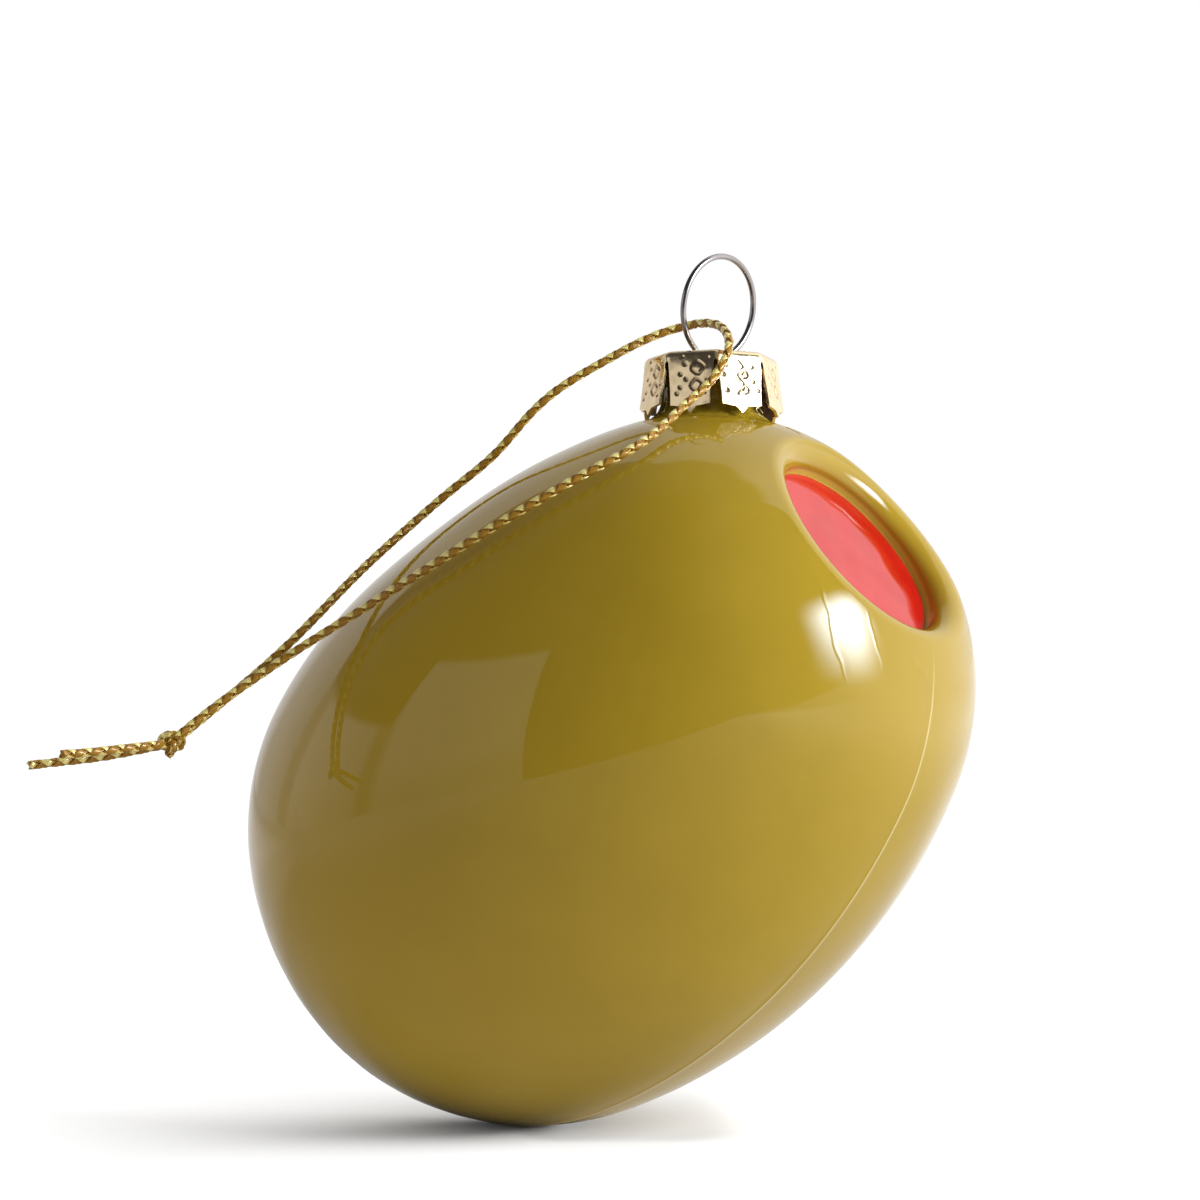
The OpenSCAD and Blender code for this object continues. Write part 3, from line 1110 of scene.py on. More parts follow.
    def _neck_rings(self, ring: Array) -> Array:
        """Rings from the shoulder up the fillet and the neck to just under its rim.

        Args:
            ring: the shoulder's last ring.
        Returns:
            The rings, as points.
        """
        turn = np.arctan2(ring[:, 1], ring[:, 0])
        wide = np.hypot(ring[:, 0], ring[:, 1])
        foot = self.neck + self.neck_fillet
        t = np.linspace(0, 1, self.foot_rows + 1)[1:, None]
        flat = wide + (foot - wide) * t
        bend = np.radians(np.linspace(0, 90, self.bend_rows + 1)[1:, None])
        curved = np.broadcast_to(foot - self.neck_fillet * np.sin(bend), (len(bend), len(turn)))
        r = np.concatenate([flat, curved])
        x, y = r * np.cos(turn), r * np.sin(turn)
        lift = np.concatenate([np.zeros(len(t)), self.neck_fillet * (1 - np.cos(bend[:, 0]))])
        z = self.drop_on(x, y) + lift[:, None]
        top = -self.wall / 2
        climb = np.linspace(0, 1, self.neck_rows + 1)[1:, None]
        rise = z[-1] + (top - z[-1]) * climb
        upper = np.stack(np.broadcast_arrays(x[-1], y[-1], rise), axis=-1)
        return np.concatenate([np.stack([x, y, z], axis=-1), upper])

    def build(self, groups: SurfaceGroups, finish: OliveGlass) -> bpy.types.Object:
        """Makes the closed shell: outer skin, rounded rim and inner skin.

        The inner skin is the outer one moved in along its normals by the wall's thickness.

        Args:
            groups: shared node groups.
            finish: the glass.
        Returns:
            The shell.
        """
        shoulder = self._shoulder()
        outer = np.concatenate([self._dimple_rings(shoulder[0]), shoulder, self._neck_rings(shoulder[-1])])
        outer = self.relax(outer)
        round_u = np.roll(outer, -1, axis=1) - np.roll(outer, 1, axis=1)
        normal = unit(np.cross(round_u, np.gradient(outer, axis=0)))
        away = np.sign(np.sum(normal[-1, :, :2] * outer[-1, :, :2]))
        inner = outer - self.wall * away * normal
        level = outer[-1, :, 2]
        turn = np.arctan2(outer[-1, :, 1], outer[-1, :, 0])
        lap = np.radians(np.linspace(0, 180, self.rim_rows + 2)[1:-1])[:, None]
        r = self.neck - self.wall / 2 + self.wall / 2 * np.cos(lap)
        rim = np.stack([r * np.cos(turn), r * np.sin(turn), level + self.wall / 2 * np.sin(lap)], axis=-1)
        bore = self.neck - self.wall
        inner[-1] = np.stack([bore * np.cos(turn), bore * np.sin(turn), level], axis=-1)
        skin = Skin()
        skin.grid(np.concatenate([outer, rim, inner[::-1]]))
        hub = self.centre + self.floor_level * self.axis
        skin.fan(hub, outer[0], flip=True)
        skin.fan(hub - self.wall * self.axis, inner[0])
        obj = skin.mesh("olive_shell", merge=1e-4)
        dress(obj, finish.material(groups))
        seat(obj, Body.OLIVE, "olive_glass", "glass_olive")
        return obj


@dataclass
class PimentoEnamel:
    """The pool of red paint on the dimple's floor."""

    radius: float = 10.36
    thick: float = 0.6
    edge: float = 0.3
    sink: float = 0.02
    wanders: tuple[Triple, ...] = ((0.05, 3, 1.0), (0.035, 7, 2.2), (0.02, 17, 0.0))
    ripples: tuple[tuple[float, float, float, float], ...] = ((0.012, 0.9, 0.5, 0.7), (0.009, -0.8, 1.3, 0.0))
    calm_depth: float = 0.25
    hub: float = 0.4
    columns: int = 180
    rows: int = 25
    edge_rows: int = 8

    def build(self, olive: GlassOlive, groups: SurfaceGroups, finish: CloudyPaint) -> bpy.types.Object:
        """A flat pool with a rounded, slightly wandering edge and slow ripples on top.

        Args:
            olive: the glass whose floor carries the paint.
            groups: shared node groups.
            finish: the paint.
        Returns:
            The closed mesh.
        """
        turn = np.linspace(0, 2 * np.pi, self.columns, endpoint=False)
        wander = sum(high * np.sin(often * turn + start) for high, often, start in self.wanders)
        bend = np.radians(np.linspace(90, 0, self.edge_rows))
        r_edge = self.radius - self.edge + self.edge * np.cos(bend)
        s_edge = self.thick - self.edge + self.edge * np.sin(bend)
        r_top = np.linspace(self.hub, self.radius - self.edge, self.rows + 1)[:-1]
        r = np.concatenate([r_top, r_edge, [self.radius - self.sink]])
        s = np.concatenate([np.full(self.rows, self.thick), s_edge, [self.sink]])
        wide = r[:, None] + wander[None] * (r / self.radius)[:, None] ** 4
        x, y = wide * np.cos(turn), wide * np.sin(turn)
        ripple = sum(high * np.sin(a * x + b * y + start) for high, a, b, start in self.ripples)
        calm = ease(-np.abs(s - self.thick), -self.calm_depth, 0.0)[:, None]
        level = olive.floor_level + s[:, None] + (ripple - self.sink) * calm
        points = olive.centre + level[..., None] * olive.axis + x[..., None] * olive.up + y[..., None] * ASIDE
        skin = Skin()
        skin.grid(points)
        top = olive.floor_level + self.thick - self.sink
        skin.fan(olive.centre + top * olive.axis, points[0], flip=True)
        skin.fan(olive.centre + (olive.floor_level + self.sink) * olive.axis, points[-1])
        obj = skin.mesh("pimento_pool", merge=1e-4)
        dress(obj, finish.material(groups))
        seat(obj, Body.OLIVE, "red_enamel", "pimento_enamel")
        return obj


@dataclass
class CrownCap:
    """The pressed crown: a flat top, rounded shoulder and eight embossed petals."""

    apothem: float = 6.2
    sheet: float = 0.3
    shoulder: float = 0.75
    corner: float = 0.9
    slit: float = 0.15
    slit_start: float = 1.1
    slit_spread: float = 0.22
    lengths: tuple[float, ...] = (5.8, 5.7, 5.6, 5.5, 5.45, 5.65, 5.85, 5.9)
    lifts: tuple[float, ...] = (0.1, 0.08, -0.04, 0.1, 0.05, 0.1, -0.4, 0.06)
    twists: tuple[float, ...] = (0.0, 1.0, -2.0, 0.5, -1.0, 0.0, 7.0, 0.0)
    zigzags: tuple[int, ...] = (1, 3, 7)
    emboss: float = 0.09
    left_dots: tuple[Pair, ...] = (
        (-0.95, 0.75), (-0.62, 1.55), (-1.1, 2.55), (-0.45, 3.1), (-1.1, 3.9), (-1.45, 4.5),
    )
    right_dots: tuple[Pair, ...] = ((1.75, 1.1), (1.85, 3.4), (1.6, 4.5))
    lozenges: tuple[Pair, ...] = ((0.75, 2.0), (0.7, 3.75))
    side_dots: tuple[Pair, ...] = (
        (-1.5, 1.7), (-1.85, 2.7), (-1.55, 4.3), (1.35, 1.8), (1.4, 3.3), (1.9, 4.2),
    )
    rings: tuple[Pair, ...] = ((0.45, 2.6), (0.45, 4.2))
    left_dot: float = 0.3
    right_dot: float = 0.26
    side_dot: float = 0.27
    lozenge: float = 0.66
    ring: float = 0.3
    swing: float = 0.38
    swing_step: float = 0.9
    swing_middle: float = -0.1
    swing_line: float = 0.13
    swing_start: Pair = (1.0, 1.3)
    swing_stop: Pair = (4.5, 4.8)
    tip: float = 0.7
    flare: float = 7.8
    turn: float = -7.0
    petals: int = 8
    across: int = 46
    hole: float = 0.5
    hole_reach: float = 2.3
    hole_turn: float = 82.0
    crisp: float = 38.0
    hub: float = 0.5
    plate_rows: int = 13
    bend_rows: int = 9
    petal_rows: int = 53
    slit_blend: float = 0.25
    corner_loss: float = 0.8
    corner_run: Pair = (0.77, 2.3)
    corner_most: float = 0.45
    tip_round: Pair = (0.6, 2.3)
    tip_half: float = 0.62
    bow_start: float = 1.0
    bow_power: float = 1.6
    twist_run: Pair = (0.8, 2.4)
    curl: float = 0.05
    curl_across: Pair = (1.2, 2.4)
    curl_down: Pair = (1.2, 2.5)
    press_start: Pair = (0.55, 0.8)

    @staticmethod
    def _dent(y: Array, d: Array, size: float) -> Array:
        """A round dent: a smooth dome, sunk."""
        return 1 - ease(np.hypot(y, d), 0.35 * size, size)

    @staticmethod
    def _lozenge(y: Array, d: Array, size: float) -> Array:
        """A tilted square sunk in a frame round a raised middle.

        Args:
            y: distances across from its middle.
            d: distances down.
            size: half its side.
        Returns:
            The depths.
        """
        a, b = y * 0.8 + d * 0.6, d * 0.8 - y * 0.6
        far = (np.abs(a / size) ** 4 + np.abs(b / size) ** 4) ** 0.25
        return ease(far, 0.5, 0.72) * (1 - ease(far, 0.86, 1.08))

    @staticmethod
    def _ring(y: Array, d: Array, size: float) -> Array:
        """A small sunk circle."""
        return np.exp(-(((np.hypot(y, d) - size) / 0.1) ** 2))

    def _zigzag(self, y: Array, d: Array) -> Array:
        """A sunk line that swings from side to side down the petal.

        Args:
            y: distances across.
            d: distances down.
        Returns:
            The depths.
        """
        wave = self.swing * (2 * np.abs(((d / self.swing_step) % 2) - 1) - 1)
        line = np.exp(-(((y - self.swing_middle - wave) / self.swing_line) ** 2))
        return line * ease(d, *self.swing_start) * (1 - ease(d, *self.swing_stop))

    def pressed(self, y: Array, d: Array, motif: Motif) -> Array:
        """Depth of the pattern, 0 to 1, at distances across and down a petal.

        Args:
            y: distances across.
            d: distances down.
            motif: which pattern.
        Returns:
            The depths.
        """
        stamps: tuple[Stamp, ...] = (
            (self._dent, self.side_dot, self.side_dots),
            (self._ring, self.ring, self.rings),
        )
        depth = np.zeros(np.shape(y))
        if motif is Motif.LOZENGES:
            stamps = (
                (self._dent, self.left_dot, self.left_dots),
                (self._dent, self.right_dot, self.right_dots),
                (self._lozenge, self.lozenge, self.lozenges),
            )
        else:
            depth = self._zigzag(y, d)
        for shape, size, places in stamps:
            for across, down in places:
                depth = np.maximum(depth, shape(y - across, d - down, size))
        return depth

    def _profile(self, petal: float) -> tuple[Array, Array, Array]:
        """Run down the sheet: plate, shoulder bend, petal.

        Args:
            petal: length of the petal from the plate's top to its edge.
        Returns:
            How far out the octagon's flats are, the level, and the distance down the petal.
        """
        bend = np.radians(np.linspace(0, 90 - self.flare, self.bend_rows))
        out = np.linspace(self.hub, self.apothem - self.shoulder, self.plate_rows + 1)[:-1]
        out_bend = self.apothem - self.shoulder + self.shoulder * np.sin(bend)
        z_bend = self.sheet - self.shoulder + self.shoulder * np.cos(bend)
        slope = math.radians(self.flare)
        run = np.linspace(0, petal + self.tip - self.shoulder, self.petal_rows + 1)[1:]
        out_petal = out_bend[-1] + run * math.sin(slope)
        z_petal = z_bend[-1] - run * math.cos(slope)
        round_bend = np.linspace(0, self.shoulder, len(bend))
        down = np.concatenate([np.zeros(len(out)), round_bend, self.shoulder + run])
        flats = np.concatenate([out, out_bend, out_petal])
        level = np.concatenate([np.full(len(out), self.sheet), z_bend, z_petal])
        return flats, level, down

    def _sector(self, motif: Motif, lift: float, twist: float, petal: float) -> tuple[Array, Array]:
        """One petal with its wedge of the plate, about the x axis.

        Across the sheet a point runs along the octagon's flat and round half of its
        corner; below the slit's start the corner straightens and the edge draws back.
        The petal's lower edge runs to a small point in the middle.

        Args:
            motif: the pattern pressed into the petal.
            lift: how far the petal is bent out at its tip.
            twist: degrees that the petal is turned about its middle.
            petal: length of the petal.
        Returns:
            Points and marks, rows down the sheet by columns across.
        """
        half = math.pi / self.petals
        flats, level, down = self._profile(petal)
        a = np.linspace(-1, 1, self.across)
        edge = np.abs(a)
        open_slit = ease(down, self.slit_start, self.slit_start + self.slit_blend)
        corner = self.corner * (1 - self.corner_loss * ease(down, *self.corner_run))
        corner = np.minimum(corner, self.corner_most * flats)
        top = (self.apothem - corner) * math.tan(half)
        straight = np.where(down > self.slit_start, top, (flats - corner) * math.tan(half))
        length = straight + corner * half
        way = edge[None] * length[:, None]
        past = np.clip((way - straight[:, None]) / corner[:, None], 0, half)
        x = flats[:, None] - corner[:, None] * (1 - np.cos(past))
        y = np.minimum(way, straight[:, None]) + corner[:, None] * np.sin(past)
        narrow = self.slit * open_slit + self.slit_spread * ease(down, self.slit_start, petal)
        y = y - narrow[:, None] * edge[None] ** 4
        y = y * np.sign(a)[None]
        full = petal - self.tip / 4 + self.tip / 4 * (1 - ease(np.abs(y), *self.tip_round))
        full = full + self.tip * np.clip(1 - np.abs(y) / self.tip_half, 0, 1)
        limit = np.minimum(full / (petal + self.tip), 1.0)
        slope = math.radians(self.flare)
        start = int(np.argmax(down > self.slit_start))
        run = np.clip(down - down[start], 0, None)
        squeeze = run[:, None] / run[-1] * (limit * (petal + self.tip) - down[start])
        shift = np.where(run[:, None] > 0, squeeze - run[:, None], 0.0)
        x = x + shift * math.sin(slope)
        z = level[:, None] - shift * math.cos(slope)
        reach = down[:, None] + shift
        bowed = lift * np.clip((reach - self.bow_start) / (petal - self.bow_start), 0, 1) ** self.bow_power
        bowed = bowed + math.tan(math.radians(twist)) * y * ease(reach, *self.twist_run)
        bowed = bowed - self.curl * ease(np.abs(y), *self.curl_across) * ease(reach, *self.curl_down)
        x = x + bowed
        depth = self.pressed(y, reach, motif) * ease(reach, *self.press_start)
        x = x - self.emboss * depth
        points = np.stack([x, y, z], axis=-1)
        marks = np.stack([depth, reach / petal, np.zeros_like(depth)], axis=-1)
        return points, marks

    def build(self, groups: SurfaceGroups, finish: GiltSheet, back: CloudyPaint) -> bpy.types.Object:
        """Presses the crown from one sheet, with a dark inner face of painted shade, and pierces its two wire
        holes.

        Args:
            groups: shared node groups.
            finish: the plating.
            back: the inner face's dark finish, which is painted shade.
        Returns:
            The crown, with its sheet's thickness.
        """
        skin = Skin()
        for k in range(self.petals):
            motif = Motif.ZIGZAG if k in self.zigzags else Motif.LOZENGES
            points, marks = self._sector(motif, self.lifts[k], self.twists[k], self.lengths[k])
            turn = rotation("z", self.turn + (k + 0.5) * 360 / self.petals)
            skin.grid(points @ turn.T, marks, wrap=False)
            skin.fan(np.array([0.0, 0.0, self.sheet]), points[0] @ turn.T, wrap=False)
        obj = skin.mesh("crown_sheet", merge=2e-3)
        dress(obj, finish.material(groups), back.material(groups))
        thick = obj.modifiers.new("sheet", "SOLIDIFY")
        thick.thickness = self.sheet * MM
        thick.offset = -1.0
        thick.use_even_offset = True
        # The inner face takes the dark finish, which is painted shade.
        thick.material_offset = 1
        cutter = self._hole_cutter()
        holes = obj.modifiers.new("holes", "BOOLEAN")
        holes.operation = "DIFFERENCE"
        holes.solver = "EXACT"
        holes.object = cutter
        settle(obj, self.crisp)
        bpy.data.objects.remove(cutter)
        seat(obj, Body.CAP, "gilt_cap", "crown_cap")
        return obj

    def _hole_cutter(self) -> bpy.types.Object:
        """Two short rods where the wire passes the plate.

        Returns:
            The rods as one object.
        """
        skin = Skin()
        for side in (-1, 1):
            foot = rotation("z", self.hole_turn) @ np.array([side * self.hole_reach, 0.0, 0.0])
            path = foot + np.array([[0, 0, -1.5], [0, 0, 0], [0, 0, 1.5]])
            skin.grid(tube(path, self.hole, 28, np.array([1.0, 0.0, 0.0])), ends=True)
        return skin.mesh("hole_cutter", merge=1e-4)


@dataclass
class SpringHanger:
    """The wire: a round loop over the cap and two legs sprung apart inside the neck."""

    wire: float = 0.3
    loop: float = 5.1
    loop_level: float = 5.2803
    bend: float = 1.0
    bend_angle: float = 57.2494
    leg: float = 2.3
    leg_top: float = 0.15
    straight: float = 2.2
    bow: float = 25.2991
    bow_angle: float = 14.8878
    pivot: float = 0.15
    turn: float = 82.0
    lean: float = 11.0
    sides: int = 20
    rows: tuple[int, int, int, int] = (14, 8, 12, 54)
    end_least: float = 0.05

    @staticmethod
    def _arc(cx: float, cz: float, r: float, start: float, stop: float, count: int) -> Array:
        """Points of a circle's arc in the xz plane."""
        t = np.radians(np.linspace(start, stop, count))
        return np.stack([cx + r * np.cos(t), np.zeros(count), cz + r * np.sin(t)], axis=-1)

    def path(self) -> Array:
        """Centre line of the wire from one leg's end, over the loop, to the other's.

        Returns:
            Points along it.
        """
        bow_rows, leg_rows, bend_rows, loop_rows = self.rows
        bow = self._arc(self.leg + self.bow, -self.straight, self.bow, 180 + self.bow_angle, 180, bow_rows)
        z = np.linspace(-self.straight, self.leg_top, leg_rows + 2)[1:-1]
        upright = np.stack([np.full_like(z, self.leg), np.zeros_like(z), z], axis=-1)
        bend = self._arc(self.leg + self.bend, self.leg_top, self.bend, 180, 180 - self.bend_angle, bend_rows)
        over = self._arc(0, self.loop_level, self.loop, -self.bend_angle, 90, loop_rows)[1:]
        half = np.concatenate([bow, upright, bend, over])
        return np.concatenate([half, half[-2::-1] * np.array([-1, 1, 1])])

    def build(self, groups: SurfaceGroups, finish: SpringSteel) -> bpy.types.Object:
        """Draws the wire along its path, with rounded cut ends.

        Args:
            groups: shared node groups.
            finish: the wire's metal.
        Returns:
            The wire.
        """
        line = self.path()
        run = run_along(line)
        ends = np.minimum(run, run[-1] - run)
        short = 1 - np.clip(ends / self.wire, 0, 1)
        radius = self.wire * np.sqrt(np.clip(1 - short**2, self.end_least, 1))
        pose = rotation("z", self.turn) @ rotation("x", self.lean)
        line = line @ pose.T + np.array([0.0, 0.0, self.pivot])
        points = tube(line, radius, self.sides, pose @ ASIDE)
        around = np.linspace(0, 2 * np.pi, self.sides, endpoint=False)
        marks = np.stack(np.broadcast_arrays(run[:, None], np.cos(around), np.sin(around)), axis=-1)
        skin = Skin()
        skin.grid(points, marks, ends=True)
        obj = skin.mesh("hanger_wire", merge=1e-4)
        dress(obj, finish.material(groups))
        seat(obj, Body.HANGER, "spring_wire", "spring_hanger")
        return obj


LOOP_ROUTE = np.array([
    (-38.8, -36.2, -38.4), (-36.2, -33.4, -35.2), (-33.6, -31.2, -32.8), (-30.8, -28.8, -30.2),
    (-26.8, -27, -27.6), (-21.4, -26, -24.8), (-14.8, -26.2, -22), (-9.2, -24.8, -18.8),
    (-4, -22.8, -15.8), (-0.4, -20.6, -13.4), (3.2, -17.6, -11), (3.6, -13.4, -8.4),
    (4, -10.4, -5.8), (5, -8, -4), (5.8, -6.4, -1.6), (6, -5.4, 0.4),
    (4.2, -3.4, 2.2), (2, -1.8, 3.4), (-0.4, -1, 3.8), (-1.8, -0.6, 3.8),
    (-4.2, -2, 3.2), (-6.4, -4.6, 1.6), (-8.4, -6.8, -0.2), (-12, -9.6, -2.8),
    (-15, -11, -5.8), (-18, -11.6, -9.4), (-22.4, -13.2, -12.6), (-25.6, -15.6, -16.2),
    (-27.6, -21.4, -21.2), (-29.6, -25.6, -26), (-32.2, -28, -29.6), (-34.4, -30.2, -32.4),
    (-36.8, -32.4, -35.2), (-39.4, -35.2, -38.4),
])
SHORT_ROUTE = np.array([
    (-39.7, -37.1, -39.1), (-40.2, -39.4, -39.5), (-41.4, -41.9, -39.9), (-42.8, -44.7, -40.4),
    (-44.2, -47.3, -40.7),
])
LONG_ROUTE = np.array([
    (-40.4, -36.3, -39.1), (-41.9, -38.8, -39.8), (-43.9, -41.8, -40.6), (-46, -44.8, -41.1),
    (-47.9, -47.7, -41.6),
])


@dataclass
class GiltCord:
    """The plaited metallic cord: its loop, its knot and its two cut tails."""

    diameter: float = 1.0
    lay: float = 3.5
    ride_radius: float = 0.23
    weave: float = 0.085
    ribbon_wide: float = 0.36
    ribbon_thick: float = 0.13
    # Painted reflection: the second hand's ribbons keep this share of their tone.
    under_hand_shade: float = 0.2
    core: float = 0.2
    step: float = 0.12
    sides: int = 8
    fray: float = 0.1
    fray_reach: float = 1.1
    fray_shares: tuple[float, ...] = (0.5, 0.7, 0.9, 1.1)
    # Painted shade: how much of the passing-under shade is taken off at a ribbon's edges, and how dark its
    # edges are.
    over_tone: float = 0.6
    edge_shade: float = 0.65
    thread_shift: float = 0.37
    knot: Triple = (-39.7, -36.0, -38.9)
    knot_turn: Pair = (100.0, -55.0)
    knot_roll: float = 22.0
    knot_ring: float = 0.63
    knot_lobe: float = 0.43
    knot_deep: float = 1.35
    knot_uneven: float = 0.16
    knot_phase: float = 0.6
    knot_ends: Pair = (0.35, 0.1)
    knot_controls: int = 60

    def plait(self, skin: Skin, path: Array, carry: bool = False, fray: float = 0.0) -> None:
        """Four foil ribbons plaited round a core along a path.

        Two ribbons turn one way and two the other. A ribbon's distance from the middle
        rises and falls twice a turn, so each passes over one neighbour and under the next.

        Args:
            skin: takes the ribbons and the core.
            path: centre line at even steps.
            carry: whether the path turns every way, so the sideways direction is carried along it.
            fray: how far the ribbons spread at the last end.
        """
        _, n, b = carried(path) if carry else frames(path)
        run = np.arange(len(path)) * np.linalg.norm(path[1] - path[0])
        loose = fray * ease(run, run[-1] - self.fray_reach, run[-1]) ** 2
        around = np.linspace(0, 2 * np.pi, self.sides, endpoint=False)
        for k in range(4):
            hand = 1 if k < 2 else -1
            turn = hand * 2 * np.pi * run / self.lay + np.pi * (k % 2)
            over = hand * np.cos(4 * np.pi * run / self.lay)
            out = np.cos(turn)[:, None] * n + np.sin(turn)[:, None] * b
            ride = self.ride_radius + self.weave * over + loose * self.fray_shares[k]
            centre = path + ride[:, None] * out
            along = unit(np.gradient(centre, axis=0))
            wide = unit(np.cross(along, out))
            out = np.cross(wide, along)
            ring = self.ribbon_wide * np.cos(around)[None, :, None] * wide[:, None]
            ring = ring + self.ribbon_thick * np.sin(around)[None, :, None] * out[:, None]
            # Painted shade for the foil's tone: lower where a ribbon passes under, at its edges, and on the
            # second hand's ribbons for their darker reflection.
            flank = np.abs(np.sin(around))[None]
            height = 0.5 + 0.5 * over[:, None] * (1 - self.over_tone * (1 - flank))
            height = height * (1 - self.edge_shade * (1 - np.sqrt(flank)))
            height = height * (1.0 if hand > 0 else self.under_hand_shade)
            thread = run[:, None] / self.lay + k * self.thread_shift
            marks = np.broadcast_arrays(thread, around[None] / (2 * np.pi), height)
            skin.grid(centre[:, None] + ring, np.stack(marks, axis=-1), ends=True)
        turn = around[None, :, None]
        inner = path[:, None] + self.core * (np.cos(turn) * n[:, None] + np.sin(turn) * b[:, None])
        skin.grid(inner, np.zeros_like(inner), ends=True)

    def _knot_path(self) -> Array:
        """Centre line of the knot, drawn tight: a trefoil with its lobes of unequal size.

        The curve winds twice round a ring and three times round the ring's own core.

        Returns:
            Points an equal step apart along it.
        """
        first, extra = self.knot_ends
        t = np.linspace(first, 2 * np.pi + extra, 4 * self.knot_controls)[::4]
        ring = self.knot_ring * (1 + self.knot_uneven * np.sin(2 * t + self.knot_phase))
        r = ring + self.knot_lobe * np.cos(3 * t)
        deep = self.knot_deep * self.knot_lobe * np.sin(3 * t)
        local = np.stack([r * np.cos(2 * t), r * np.sin(2 * t), deep], axis=-1)
        tip, spin = self.knot_turn
        turn = rotation("z", spin) @ rotation("y", tip) @ rotation("x", self.knot_roll)
        return Route(local).even(self.step) @ turn.T + np.array(self.knot)

    def _piece(
        self, name: str, node: str, path: Array, foil: bpy.types.Material, **how: Any
    ) -> bpy.types.Object:
        """One stretch of the plait, in place of a node of the frame.

        Args:
            name: the piece's name.
            node: the node it stands for.
            path: centre line at even steps.
            foil: the strands' material.
            how: further choices of the plait.
        Returns:
            The piece on the cord's body.
        """
        skin = Skin()
        self.plait(skin, path, **how)
        obj = skin.mesh(name)
        dress(obj, foil)
        seat(obj, Body.CORD, "gilt_cord", node)
        return obj

    def build(self, groups: SurfaceGroups, finish: GiltFoil) -> bpy.types.Object:
        """Args:
            groups: shared node groups.
            finish: the strands' foil.
        Returns:
            The loop.
        """
        foil = finish.material(groups)
        path = Route(LOOP_ROUTE).even(self.step)
        loop = self._piece("cord_plait", "cord_loop", path, foil)
        others = [self._piece("cord_wraps", "cord_knot", self._knot_path(), foil, carry=True)]
        for end, route in (("short", SHORT_ROUTE), ("long", LONG_ROUTE)):
            tail = Route(route).even(self.step)
            others.append(self._piece(f"cord_end_{end}", f"cord_tail_{end}", tail, foil, fray=self.fray))
        line = NECK.place(path)
        return loop


@dataclass(frozen=True)
class SoftLamp:
    """Where a soft lamp stands, seen from the olive, and how big and strong it is."""

    heading: float
    height: float
    away: float
    size: Pair
    power: float


@dataclass(frozen=True)
class Band:
    """A level that changes smoothly between two places."""

    low: float
    high: float
    at_low: float = 0.0
    at_high: float = 1.0

    def on(self, g: Graph, value: Socket) -> Socket:
        """The level at a value."""
        return g.span(value, self.low, self.high, self.at_low, self.at_high)


